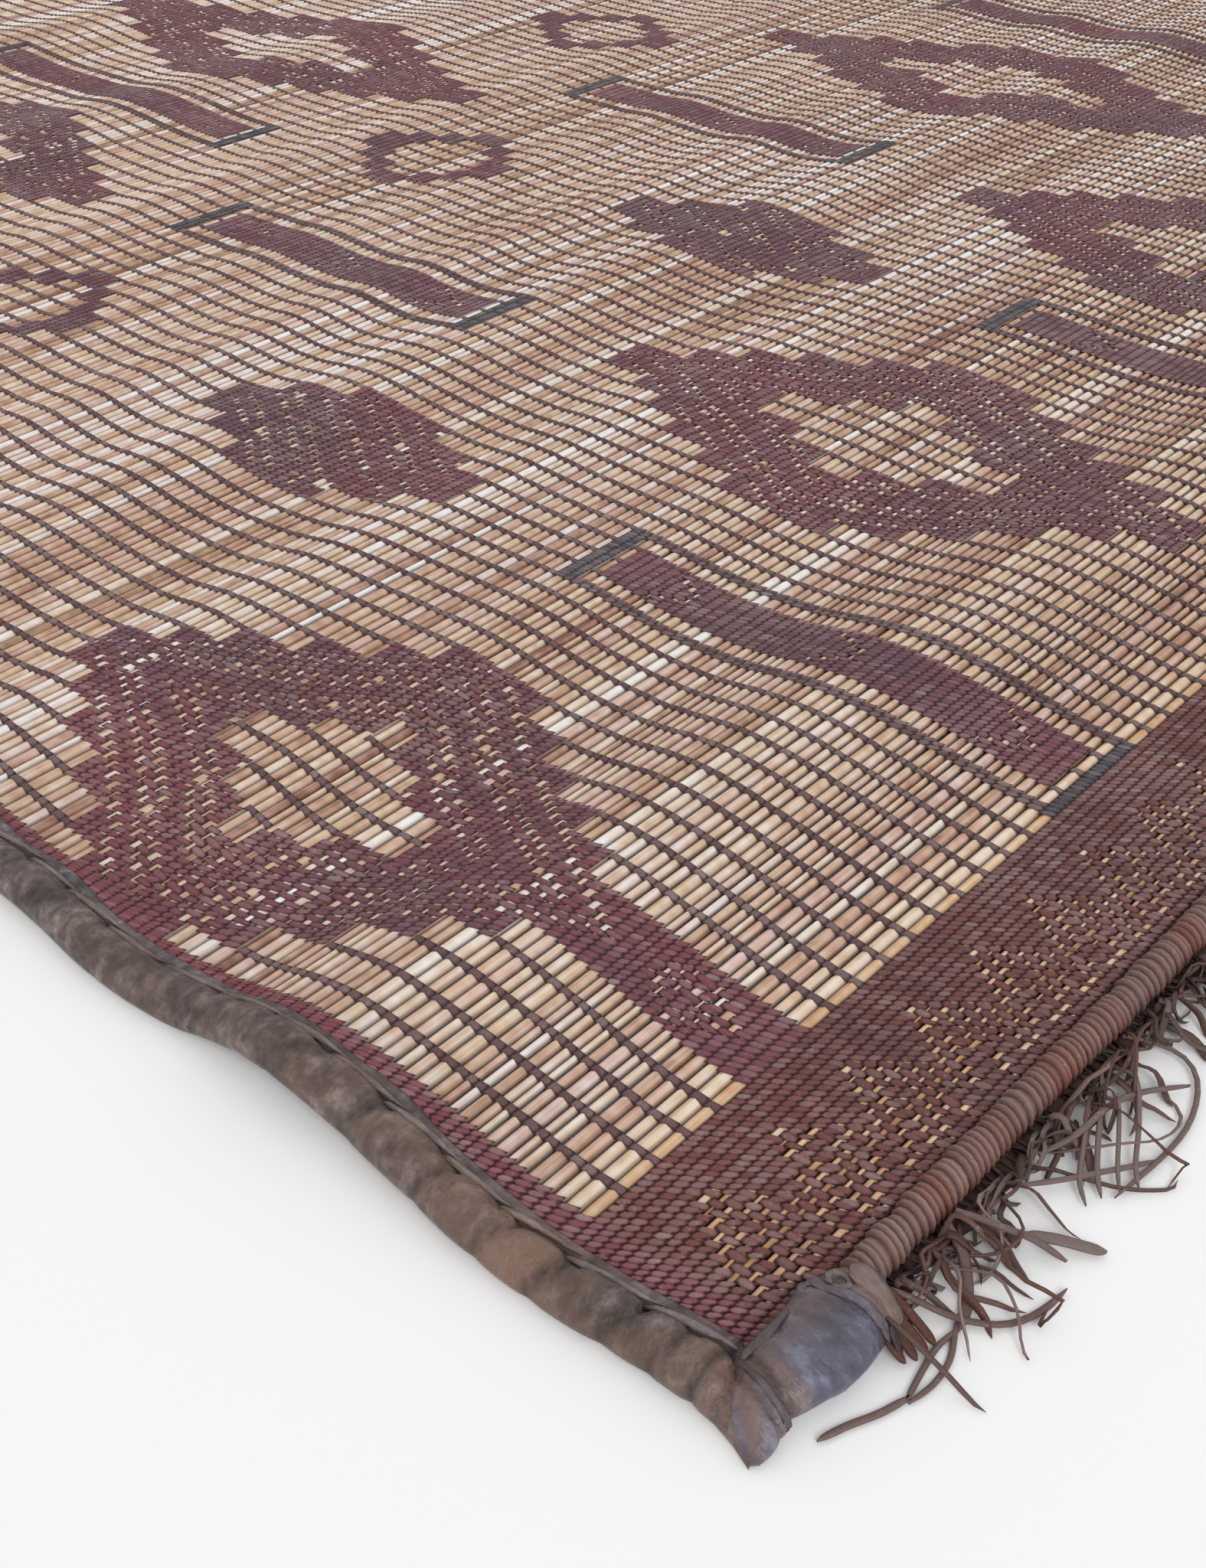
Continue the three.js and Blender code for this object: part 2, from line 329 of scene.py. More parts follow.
def draw_lozenge(chart, dots, columns, rows, half_rows):
    """Three steps of one cell, filled with dotted lines that lean one way and a few that cross them."""
    height = np.abs(rows) / half_rows
    cells = 3 - (height > 0.41) - (height > 0.76)
    inside = (np.abs(columns) <= cells * CELL_COLUMNS) & (height <= 1)
    core = (np.abs(columns) <= cells * CELL_COLUMNS - 2) & (height <= 0.9)
    chart[inside] = CLOSE
    dots |= core & (np.isin((columns - rows) % 8, (0, 3)) | ((columns + rows) % 16 == 0) & (height < 0.6))


def draw_bar(chart, dots, columns, rows, half_rows):
    """A filled bar between two side lines, with a dark band at each end and small dotted V shapes in it."""
    inside = (np.abs(columns) <= 10) & (np.abs(rows) <= half_rows)
    core = (np.abs(columns) <= 5) & (np.abs(rows) <= half_rows - 3)
    chart[inside] = OPEN
    chart[core] = CLOSE
    chart[inside & (np.abs(columns) >= 9)] = SIDE_LINE
    chart[inside & (np.abs(rows) >= half_rows - 1)] = OUTLINE
    from_point = (rows + half_rows) % 17 - np.abs(columns)
    dots |= core & (np.abs(columns) <= 4) & (np.abs(rows) <= half_rows - 5) & (from_point == 6)


def draw_ring(chart, dots, columns, rows, half_rows):
    """A small stepped diamond, a little over one cell thick, open inside."""
    height = np.abs(rows) / half_rows
    cells = 4 - np.ceil(np.clip((height - 0.2) / 0.27, 0, 3))
    inside = (np.abs(columns) < cells * CELL_COLUMNS) & (height <= 1)
    hole = (np.abs(columns) < (cells - 1.3) * CELL_COLUMNS) & (height <= 0.58)
    chart[inside & ~hole] = CLOSE


DRAW = {"diamond": draw_diamond, "lozenge": draw_lozenge, "bar": draw_bar, "ring": draw_ring}

# %% The whole chart
def draw_stem(chart, dots, from_end, columns, rows, half_rows):
    """Two cells of close work from an edge diamond to the end band, with a small dotted lozenge in it."""
    from_band = from_end - band_rows
    middle = from_band[np.argmin(np.abs(rows))]
    stem = (np.abs(columns) <= CELL_COLUMNS) & (from_band >= 0) & (from_band <= middle - half_rows)
    chart[stem] = CLOSE
    leaf = np.abs(columns) + np.abs(from_band - 7)
    dots |= stem & np.isin(leaf, (1, 4)) & (leaf <= 4)


def draw_band(chart, dots, from_end):
    """The end band: close work with zigzag lines of dots, which shift by one row from column to column."""
    band = from_end < band_rows
    chart[np.broadcast_to(band, chart.shape)] = CLOSE
    zigzag = np.abs((column_number + 4) % 12 - 6)
    from_top = band_rows - 1 - from_end
    dots |= band & np.isin(from_top - zigzag, (4, 6, 9, 11)) & (from_top < 14)


chart = np.zeros((row_count, COLUMN_COUNT), dtype=int)
dots = np.zeros((row_count, COLUMN_COUNT), dtype=bool)
for kind, across, along, half in FIGURES:
    DRAW[kind](chart, dots, *near_figure(across, along, half))
from_front = np.arange(row_count)[:, None]
from_back = row_count - 1 - from_front
column_number = np.arange(COLUMN_COUNT)[None, :]
for from_end, along in ((from_front, EDGE_ALONG), (from_back, 2 * HALF_LENGTH - EDGE_ALONG)):
    for across in (EDGE_ACROSS, 2 * HALF_WIDTH - EDGE_ACROSS):
        draw_stem(chart, dots, from_end, *near_figure(across, along, EDGE_HALF))
    draw_band(chart, dots, from_end)
side_number = np.minimum(column_number, COLUMN_COUNT - 1 - column_number)
selvedge = np.broadcast_to(side_number < SELVEDGE_COLUMNS, chart.shape)
chart[selvedge] = CLOSE
in_band = np.minimum(from_front, from_back) < band_rows
near_end = np.abs(row_middle)[:, None] > HALF_LENGTH - 450
worn_share = np.where(in_band, 0.2, np.where(near_end, 0.12, 0.32))
worked = np.random.default_rng(17).random(chart.shape) > worn_share
dots &= (chart == CLOSE) & worked & ~selvedge & (side_number > SELVEDGE_COLUMNS + 1)
thong = (chart == OPEN) & (column_number % CELL_COLUMNS == 0)
print("close beads:", int((chart == CLOSE).sum() - dots.sum()), "thong beads:", int(thong.sum()),
      "outline beads:", int((chart >= OUTLINE).sum()))

# %% [markdown]
# ## Where the columns run
#
# No thong runs straight. Slow waves and small noise push each one sideways. Close twining needs more room
# than open work, so a figure presses the columns beside it apart. The lines are worked out once at every
# row edge.

# %% Lines of the columns
ROOM = {
    # kind: share of the distance pushed, how far the push reaches, and the inner half width that is kept
    "diamond": (0.2, 130, 30), "lozenge": (0.14, 80, 0), "ring": (0.0, 90, 0), "bar": (0.08, 60, 0)}


def column_lines():
    """x of every column at every row edge: two waves, noise and each figure's push, fading at the sides."""
    x, y = column_x[None, :], row_edges[:, None]
    shift = 1.5 * noise_sheet(3, (x + HALF_WIDTH) / 55, (y + HALF_LENGTH) / 90)
    shift = 0.9 * np.sin(y / 71 + x / 190) + shift
    at_selvedge = np.sign(x) * np.exp(-((np.abs(x) - 870) / 30) ** 2)
    shift = shift - 2.5 * np.exp(-((x + 770) / 130) ** 2) + 2.5 * at_selvedge
    for kind, across, along, half in FIGURES:
        push, reach, kept = ROOM[kind]
        dx, dy = x - (across - HALF_WIDTH), y - (along - HALF_LENGTH)
        beyond = np.sign(dx) * np.maximum(np.abs(dx) - kept, 0)
        shift = shift + push * beyond * np.exp(-(dx / reach) ** 2 - (dy / (0.85 * half)) ** 2)
    fade = np.clip((PANEL_HALF_WIDTH - np.abs(x)) / 25, 0, 1)
    jitter = np.random.default_rng(4).normal(0, 0.14, (row_count + 1, COLUMN_COUNT))
    return x + (shift + jitter) * fade


line_x = column_lines()
print("widest sideways shift, mm:", round(float(np.abs(line_x - column_x).max()), 1))

# %% [markdown]
# ## Shared effects
#
# Straw and leather here share a few effects: fine streaks along the fibre, soft mottling, and the form of a
# bead, from which the leathers paint shade in its hollows and a highlight on its crest. Each is a node group
# built once. A group puts out only numbers, so every material keeps its own shader.

# %% Node helpers
def new_group(name, inputs, outputs):
    """An empty shader group with its two end nodes. Inputs are label and kind, and outputs are all numbers."""
    group = bpy.data.node_groups.new(name, "ShaderNodeTree")
    for label, kind in inputs:
        group.interface.new_socket(name=label, in_out="INPUT", socket_type=kind)
    for label in outputs:
        group.interface.new_socket(name=label, in_out="OUTPUT", socket_type="NodeSocketFloat")
    return group, group.nodes.new("NodeGroupInput"), group.nodes.new("NodeGroupOutput")


def add(tree, kind, **settings):
    """A node of a kind, with its properties set by name and its inputs by their label in inputs."""
    node = tree.nodes.new(kind)
    for label, value in settings.pop("inputs", {}).items():
        node.inputs[label].default_value = value
    for key, value in settings.items():
        setattr(node, key, value)
    return node


def feed(tree, slots, values):
    """Gives each slot its value, a plain one or the socket that feeds it."""
    for slot, value in zip(slots, values):
        if isinstance(value, bpy.types.NodeSocket):
            tree.links.new(value, slot)
        else:
            slot.default_value = value


def calc(tree, operation, first, second=0.5, clamp=False):
    """A Math node. Each operand is a number or a socket."""
    node = add(tree, "ShaderNodeMath", operation=operation, use_clamp=clamp)
    feed(tree, node.inputs, (first, second))
    return node.outputs[0]


def weighed(tree, first, share, second, other_share):
    """Two values, each times its share, added up."""
    one, other = calc(tree, "MULTIPLY", first, share), calc(tree, "MULTIPLY", second, other_share)
    return calc(tree, "ADD", one, other)


def varied(tree, value, noise, amount, clamp=False):
    """A value moved up and down by a noise about its middle, times an amount."""
    change = calc(tree, "MULTIPLY", calc(tree, "SUBTRACT", noise, 0.5), amount)
    return calc(tree, "ADD", value, change, clamp)


def linear(red, green, blue_and_sheen):
    """A colour given as it looks on screen, 0 to 255, as the linear colour that shaders use."""
    seen = np.array([red, green, blue_and_sheen]) / 255
    return (*np.where(seen <= 0.04045, seen / 12.92, ((seen + 0.055) / 1.055) ** 2.4), 1.0)


def ramp(tree, factor, *stops):
    """A colour ramp through (place, colour) stops."""
    node = add(tree, "ShaderNodeValToRGB")
    marks = node.color_ramp.elements
    while len(marks) < len(stops):
        marks.new(1.0)
    for mark, (place, colour) in zip(marks, stops):
        mark.position = place
        mark.color = linear(*colour)
    tree.links.new(factor, node.inputs["Fac"])
    return node.outputs["Color"]


def blend(tree, factor, first, second):
    """A Mix node for colours. Each colour is a socket or a tuple from linear()."""
    node = add(tree, "ShaderNodeMix", data_type="RGBA")
    feed(tree, [node.inputs[k] for k in (0, 6, 7)], (factor, first, second))
    return node.outputs[2]


def point_value(tree, name):
    """A named value that the mesh carries at each point."""
    return add(tree, "ShaderNodeAttribute", attribute_name=name).outputs["Fac"]


def scaled_noise(tree, coordinates, scale, detail, roughness=0.5):
    """Noise on coordinates stretched by scale, a number or one number for each axis."""
    stretch = scale if isinstance(scale, tuple) else (scale,) * 3
    mapping = add(tree, "ShaderNodeMapping", inputs={"Scale": stretch})
    tree.links.new(coordinates, mapping.inputs["Vector"])
    noise = add(tree, "ShaderNodeTexNoise", inputs={"Scale": 1.0, "Detail": detail, "Roughness": roughness})
    tree.links.new(mapping.outputs["Vector"], noise.inputs["Vector"])
    return noise.outputs["Fac"]

# %% Shared node groups
def streaks_group():
    """Fibre streaks: noise drawn out a hundredfold along X, mixed with a finer one."""
    group, enter, leave = new_group("fibre_streaks", [("Vector", "NodeSocketVector")], ["Streak"])
    coarse = scaled_noise(group, enter.outputs["Vector"], (14, 900, 900), detail=3)
    fine = scaled_noise(group, enter.outputs["Vector"], (60, 3000, 3000), detail=2)
    group.links.new(weighed(group, coarse, 0.6, fine, 0.4), leave.inputs["Streak"])
    return group


def hide_group():
    """Leather: broad mottling, and a fine grain of cells for the surface."""
    group, enter, leave = new_group(
        "hide_mottle_and_grain", [("Vector", "NodeSocketVector")], ["Mottle", "Grain"])
    broad = scaled_noise(group, enter.outputs["Vector"], 42, detail=4, roughness=0.62)
    small = scaled_noise(group, enter.outputs["Vector"], 210, detail=3, roughness=0.6)
    cells = add(group, "ShaderNodeTexVoronoi", feature="F1", inputs={"Scale": 900.0})
    group.links.new(enter.outputs["Vector"], cells.inputs["Vector"])
    group.links.new(weighed(group, broad, 0.65, small, 0.35), leave.inputs["Mottle"])
    group.links.new(cells.outputs["Distance"], leave.inputs["Grain"])
    return group


def bead_group():
    """A rounded bead from its places across and along, -1 to 1: its height, its edges and its corner pits,
    which the leathers use for a painted highlight and painted shade.
    """
    group, enter, leave = new_group(
        "bead_form", [("Across", "NodeSocketFloat"), ("Along", "NodeSocketFloat")], ["Height", "Edge", "Pit"])
    across = calc(group, "ABSOLUTE", enter.outputs["Across"])
    along = calc(group, "ABSOLUTE", enter.outputs["Along"])
    side, end = calc(group, "POWER", across, 2.4), calc(group, "POWER", along, 4.0)
    off_side, off_end = calc(group, "SUBTRACT", 1.0, across), calc(group, "SUBTRACT", 1.0, along)
    from_corner = calc(group, "SQRT", weighed(group, off_side, off_side, off_end, off_end))
    pit = calc(group, "DIVIDE", calc(group, "SUBTRACT", 0.62, from_corner), 0.42, clamp=True)
    edge = calc(group, "MAXIMUM", calc(group, "MULTIPLY", side, 0.85), end)
    fall = weighed(group, side, 0.5, end, 0.6)
    height = calc(group, "SUBTRACT", calc(group, "SUBTRACT", 1.0, fall), calc(group, "MULTIPLY", pit, 0.8))
    for label, value in (("Height", height), ("Edge", edge), ("Pit", pit)):
        group.links.new(value, leave.inputs[label])
    return group


streaks = streaks_group()
hide = hide_group()
bead_form = bead_group()


def place(tree, group, coordinates):
    """A group's node in a material's tree, fed with coordinates."""
    node = add(tree, "ShaderNodeGroup", node_tree=group)
    tree.links.new(coordinates, node.inputs["Vector"])
    return node


def new_material(name, roughness, specular):
    """A material with its shader, and the object's own coordinates."""
    material = bpy.data.materials.new(name)
    material.use_nodes = True
    tree = material.node_tree
    shader = tree.nodes["Principled BSDF"]
    shader.inputs["Roughness"].default_value = roughness
    shader.inputs["Specular IOR Level"].default_value = specular
    where = add(tree, "ShaderNodeTexCoord").outputs["Object"]
    return material, tree, shader, where


def bump(tree, shader, height, strength, distance):
    """Puts a height into the shader's normal."""
    node = add(tree, "ShaderNodeBump", inputs={"Strength": strength, "Distance": distance})
    tree.links.new(height, node.inputs["Height"])
    tree.links.new(node.outputs["Normal"], shader.inputs["Normal"])

# %% [markdown]
# ## Straw
#
# A split reed is pale and a little glossy, and no two are the same colour. Each reed carries its own tone
# and hue as point values, and the shader adds fibre streaks. Painted shade darkens the sides, where the
# reeds meet.

# %% Straw material
def straw_material():
    """Straw: the reed's tone varied by four noises, its hue between three ramps, and painted shade at its
    sides.
    """
    material, tree, shader, where = new_material("reed_straw", 0.5, 0.35)
    streak = place(tree, streaks, where).outputs["Streak"]
    tone = varied(tree, point_value(tree, "tone"), streak, 0.8)
    for scale, detail, amount in (
            ((26, 185, 30), 2, 0.6), ((10, 420, 30), 1, 0.45), ((170, 150, 30), 1, 0.5)):
        tone = varied(tree, tone, scaled_noise(tree, where, scale, detail), amount)
    pale = ramp(tree, tone, (0.0, (142, 108, 86)), (0.28, (192, 156, 128)), (0.5, (219, 189, 160)),
                (0.72, (234, 217, 199)), (1.0, (248, 245, 243)))
    pink = ramp(tree, tone, (0.0, (136, 92, 80)), (0.3, (192, 148, 132)), (0.6, (219, 186, 174)),
                (1.0, (242, 232, 232)))
    amber = ramp(tree, tone, (0.1, (138, 86, 54)), (0.45, (200, 144, 94)), (0.8, (230, 194, 146)))
    colour = blend(tree, point_value(tree, "hue"), pale, pink)
    colour = blend(tree, point_value(tree, "amber"), colour, amber)
    # painted shade: the value side darkens the reed's sides and underside, where the reeds meet
    side = calc(tree, "MULTIPLY", point_value(tree, "side"), 0.85, clamp=True)
    colour = blend(tree, side, colour, linear(60, 37, 27))
    tree.links.new(colour, shader.inputs["Base Color"])
    bump(tree, shader, streak, 0.35, 0.0004)
    return material


straw = straw_material()

# %% [markdown]
# ## Reeds
#
# A reed is a long flattened tube. Its section is seven points, rounder above than below, carried along X.
# All reeds are worked out in one array of rows by stations by section points, and each follows the folds.

# %% Reeds
REED_SECTION = np.array([
    # across, up: from -1 to 1 of the half width and half thickness
    (-0.55, -1.0), (-1.34, -0.3), (-0.76, 0.56), (0.0, 1.0), (0.76, 0.56), (1.34, -0.3), (0.55, -1.0)])
# painted shade at each section point: full on the underside and lower sides, none on top
REED_SIDE_SHADE = np.array([1.0, 0.9, 0.14, 0.0, 0.14, 0.9, 1.0])
REED_STATIONS = 14
REED_HALF_THICKNESS = 1.85


def make_reeds():
    """Points: station along X, half width times across plus the row's middle, and half thickness times up."""
    rng = np.random.default_rng(5)
    share = np.concatenate([[-1], np.linspace(-1, 1, REED_STATIONS - 2), [1]])
    end = np.where(np.isin(np.arange(REED_STATIONS), (0, REED_STATIONS - 1)), 0.05, 1.0)
    x = np.broadcast_to(share[None, :, None] * (PANEL_HALF_WIDTH - 0.6), (row_count, REED_STATIONS, 1))
    crooked = rng.normal(0, 0.16, (row_count, REED_STATIONS, 1))
    thick = REED_HALF_THICKNESS * rng.uniform(0.9, 1.04, (row_count, 1, 1))
    half = (row_half - 0.72)[:, None, None] * end[None, :, None]
    y = row_middle[:, None, None] + crooked + half * REED_SECTION[:, 0]
    z = REED_TOP - thick + thick * end[None, :, None] * REED_SECTION[:, 1]
    points = np.stack(np.broadcast_arrays(narrowed(x, y), y, z + lift(x, y)), axis=-1)
    each = REED_STATIONS * len(REED_SECTION)
    faces = repeated(grid_faces(REED_STATIONS, len(REED_SECTION), ring=True)[:, ::-1], row_count, each)
    tone = rng.normal(0.51, 0.1, (row_count, 1, 1)) + rng.normal(0, 0.06, (row_count, REED_STATIONS, 1))
    tone = np.clip(tone + rng.choice([0, 0.22, -0.12], (row_count, 1, 1), p=[0.7, 0.2, 0.1]), 0.02, 1)
    past_band = np.minimum(from_front, from_back)[..., None] - band_rows
    amber = rng.uniform(0.4, 1, (row_count, 1, 1)) * np.clip(1 - past_band / 4, 0, 1)
    pale_patch = 0.12 * noise_sheet(8, (x + HALF_WIDTH) / 210, (y + HALF_LENGTH) / 160)
    hue = np.clip(rng.normal(0.3, 0.28, (row_count, 1, 1)), 0, 1)
    return fill_mesh("reeds", points, faces, {
        "tone": tone + pale_patch, "hue": hue, "side": REED_SIDE_SHADE, "amber": amber})


finish_piece(make_reeds(), straw, ["mat_panel"])

# %% [markdown]
# ## Twined leather
#
# Where a thong crosses a reed it shows as one bead, pulled down between the reeds and high over the middle
# of one. So the twining is thousands of alike beads. A bead of the open work is a fan of six triangles
# round its crest, wide enough to hug the reed. A bead of the close work has its neighbours to hide its
# foot, and four triangles are enough.

# %% Leather for the twining
def twining_material(name, dark, dull, red, beaded=False):
    """Worn dyed leather: dye mixes dull and red, tone lightens it, and painted shade darkens the hollows.

    A beaded one takes its hollows from the form of a bead and gets a painted highlight on its crest, and the
    others take their hollows from the value crest."""
    material, tree, shader, where = new_material(name, 0.58, 0.32)
    leather = place(tree, hide, where)
    dye = varied(tree, point_value(tree, "dye"), leather.outputs["Mottle"], 0.8, clamp=True)
    colour = ramp(tree, dye, (0.0, dull), (1.0, red))
    speck = ramp(tree, scaled_noise(tree, where, 520, detail=2), (0.6, (0, 0, 0)), (0.78, (255, 255, 255)))
    wear_and_highlight = calc(tree, "ADD", point_value(tree, "tone"), calc(tree, "MULTIPLY", speck, 0.28), clamp=True)
    if beaded:
        form = add(tree, "ShaderNodeGroup", node_tree=bead_form)
        tree.links.new(point_value(tree, "across"), form.inputs["Across"])
        tree.links.new(point_value(tree, "along"), form.inputs["Along"])
        # painted highlight: on a bead the lightening is kept to its crest
        wear_and_highlight = calc(tree, "MULTIPLY", wear_and_highlight, calc(tree, "MULTIPLY", form.outputs["Height"], 1.5, clamp=True))
        # painted shade on the bead's edges and in its corner pits
        edge = calc(tree, "MULTIPLY", form.outputs["Edge"], 0.8)
        hollow_shade = calc(tree, "MAXIMUM", edge, form.outputs["Pit"])
        bump(tree, shader, form.outputs["Height"], 0.9, 0.0011)
    else:
        # painted shade where the value crest is low
        hollow_shade = calc(tree, "SUBTRACT", 1.0, point_value(tree, "crest"), clamp=True)
        bump(tree, shader, leather.outputs["Grain"], 0.2, 0.0003)
    # lighter by tone and specks, and on a bead's crest by a painted highlight
    colour = blend(tree, wear_and_highlight, colour, linear(184, 166, 164))
    # painted shade: the hollows blend towards the dark colour
    colour = blend(tree, calc(tree, "MULTIPLY", hollow_shade, 0.8), colour, linear(*dark))
    tree.links.new(colour, shader.inputs["Base Color"])
    return material


close_leather = twining_material(
    "close_twining_leather", (50, 26, 30), (102, 78, 86), (130, 68, 77), beaded=True)
band_leather = twining_material("end_band_leather", (42, 20, 20), (98, 71, 72), (122, 68, 64), beaded=True)
thong_leather = twining_material("thong_leather", (58, 40, 42), (98, 76, 78), (106, 73, 74), beaded=True)
outline_leather = twining_material("outline_leather", (40, 34, 38), (74, 72, 80), (82, 74, 80), beaded=True)
below_leather = twining_material("underside_leather", (62, 34, 38), (104, 80, 86), (124, 72, 76))

# %% Beads
CLOSE_BEAD = np.array([
    # across and along, of the half width and half length, and height over the reed's top
    (-1, -1, 0.05), (1, -1, 0.05), (1, 1, 0.05), (-1, 1, 0.05), (0, 0, 1.1)])
CLOSE_FACES = np.array([(4, 0, 1), (4, 1, 2), (4, 2, 3), (4, 3, 0)])
THONG_BEAD = np.array([
    (-1.35, -1, -0.75), (1.35, -1, -0.75), (1, 0, 0.2), (1.35, 1, -0.75), (-1.35, 1, -0.75), (-1, 0, 0.2),
    (0, 0, 0.95)])
THONG_FACES = np.array([(6, 0, 1), (6, 1, 2), (6, 2, 3), (6, 3, 4), (6, 4, 5), (6, 5, 0)])
THONG_HALF_WIDTH = 1.5
NEXT_TO_DOT = (0.3, 0.68)


def make_beads(name, mask, bead, bead_faces, half_width, lean, seed, redness):
    """One bead at each true place of the mask: its points scaled to the row and column, leaning, and lifted.

    The bead's ends lie on its column's line at the two row edges. Where a dot is next in its column, it
    reaches further over the reed. Where one is next in its row, it is narrower there, so a dot is an oval."""
    rng = np.random.default_rng(seed)
    rows, columns = np.nonzero(mask)
    across, along, height = (bead[:, i] for i in range(3))
    share = (along + 1) / 2
    low, high = line_x[rows, columns][:, None], line_x[rows + 1, columns][:, None]
    width = half_width * rng.uniform(0.92, 1.1, (len(rows), 1))
    before = dots[np.maximum(rows - 1, 0), columns][:, None]
    after = dots[np.minimum(rows + 1, row_count - 1), columns][:, None]
    reach = 1 + rng.uniform(*NEXT_TO_DOT, (len(rows), 1)) * np.where(along < 0, before, after)
    y = row_middle[rows][:, None] + along * reach * row_half[rows][:, None]
    beside = np.where(across < 0, dots[rows, np.maximum(columns - 1, 0)][:, None],
                      dots[rows, np.minimum(columns + 1, COLUMN_COUNT - 1)][:, None])
    wide = np.where(reach > 1, 1.04, 1 - 0.3 * beside)
    x = low * (1 - share) + high * share + across * width * wide + lean * along * (reach == 1)
    rise = rng.uniform(0.8, 1.15, (len(rows), 1))
    z = REED_TOP + np.where(height > 0, height * rise, height)
    points = np.stack([narrowed(x, y), y, z + lift(x, y)], axis=-1)
    from_left, from_end = column_x[columns] + HALF_WIDTH, row_middle[rows] + HALF_LENGTH
    strip = noise_sheet(seed + 1, columns * 0.97, from_end / 60)
    patch = noise_sheet(seed + 2, from_left / 45, from_end / 45)
    tone = 0.11 + 0.09 * strip + 0.1 * patch + rng.normal(0, 0.09, len(rows))
    cloud = noise_sheet(seed + 3, from_left / 80, from_end / 80)
    dye = redness + 0.3 * np.clip(1.25 - from_left / 170, 0, 1) + 0.3 * cloud + 0.2 * strip
    return fill_mesh(name, points, repeated(bead_faces, len(rows), len(bead)), {
        "tone": np.clip(tone, 0, 1)[:, None], "dye": np.clip(dye, 0, 1)[:, None],
        "across": np.sign(across), "along": along})


front_half = row_middle[:, None] < 0
close = (chart == CLOSE) & ~dots
inner = close & ~selvedge
close_half = COLUMN_PITCH / 2
for part, mask, redness, seed, leather in (
        ("band_front", inner & in_band & front_half, 0.6, 20, band_leather),
        ("band_back", inner & in_band & ~front_half, 0.6, 30, band_leather),
        ("selvedges", close & selvedge, 0.85, 40, close_leather),
        ("figures_front", inner & ~in_band & front_half, 0.5, 50, close_leather),
        ("figures_back", inner & ~in_band & ~front_half, 0.5, 60, close_leather)):
    half = (0.88 if part == "selvedges" else 1.06) * close_half
    piece = make_beads(f"twining_{part}", mask, CLOSE_BEAD, CLOSE_FACES, half, -1.1, seed, redness)
    finish_piece(piece, leather)
for part, value, seed, leather, slot in (
        ("bar_ends", OUTLINE, 70, outline_leather, "outline_leather"),
        ("bar_sides", SIDE_LINE, 76, thong_leather, "thong_leather")):
    mask = chart == value
    piece = make_beads(f"twining_{part}", mask, CLOSE_BEAD, CLOSE_FACES, close_half, -0.85, seed, 0.3)
    finish_piece(piece, leather)
for part, mask, seed in (("front", thong & front_half, 80), ("back", thong & ~front_half, 90)):
    piece = make_beads(f"thongs_{part}", mask, THONG_BEAD, THONG_FACES, THONG_HALF_WIDTH, -0.2, seed, 0.4)
    finish_piece(piece, thong_leather)

# %% [markdown]
# ## Sweeping a section along a path
#
# Lacing, straps, wraps and fringe are all strips of leather, and each is a small section carried along a
# path. One function sweeps many strips at once. A twist turns the section about the path, as a thong turns
# over.

# %% Sweep helpers
ROUND_SIX = np.stack([np.cos(np.arange(6) * np.pi / 3), np.sin(np.arange(6) * np.pi / 3)], axis=-1)
FLAT_FOUR = np.array([(1, 0.55), (-1, 0.55), (-1, -0.55), (1, -0.55)])


def swept(paths, half_width, half_thickness, section, twist=0.0):
    """Points round each path: the section's first number goes sideways and its second up, turned by twist.

    Sideways is the path's direction crossed with up. paths is strips by stations by three."""
    ahead = np.gradient(paths, axis=1)
    ahead = ahead / (np.linalg.norm(ahead, axis=2, keepdims=True) + 1e-9)
    side = np.cross(ahead, np.array([0.0, 0.0, 1.0]))
    side = side / (np.linalg.norm(side, axis=2, keepdims=True) + 1e-9)
    up = np.cross(side, ahead)
    shape = paths.shape[:2] + (1,)
    a = section[:, 0] * np.broadcast_to(half_width, paths.shape[:2]).reshape(shape)
    b = section[:, 1] * np.broadcast_to(half_thickness, paths.shape[:2]).reshape(shape)
    turn = np.broadcast_to(twist, paths.shape[:2]).reshape(shape)
    sideways, rise = a * np.cos(turn) - b * np.sin(turn), a * np.sin(turn) + b * np.cos(turn)
    return paths[:, :, None, :] + sideways[..., None] * side[:, :, None] + rise[..., None] * up[:, :, None]


def strips(name, points, values):
    """A mesh from swept points, strips by stations by section points by three."""
    count, stations, section = points.shape[:3]
    faces = repeated(grid_faces(stations, section, ring=True), count, stations * section)
    return fill_mesh(name, points, faces, values, closed=True)


def tapered(stations, start=0.15, end=0.1, power=8):
    """A width from 0 to 1 along a strip that closes at both ends and is nearly full between them."""
    t = np.linspace(-1, 1, stations)
    full = 1 - np.abs(t) ** power
    return np.maximum(full, np.where(t < 0, start, end))

# %% [markdown]
# ## Heavy leather
#
# The bindings and caps are of thicker hide, greasy and scuffed, with no dye left. Creases are dark with
# painted shade, and what stands out on the bindings gets a paler tan as a painted highlight. Values on the
# mesh say where it is creased, tanned, blue-grey or given a painted sheen.

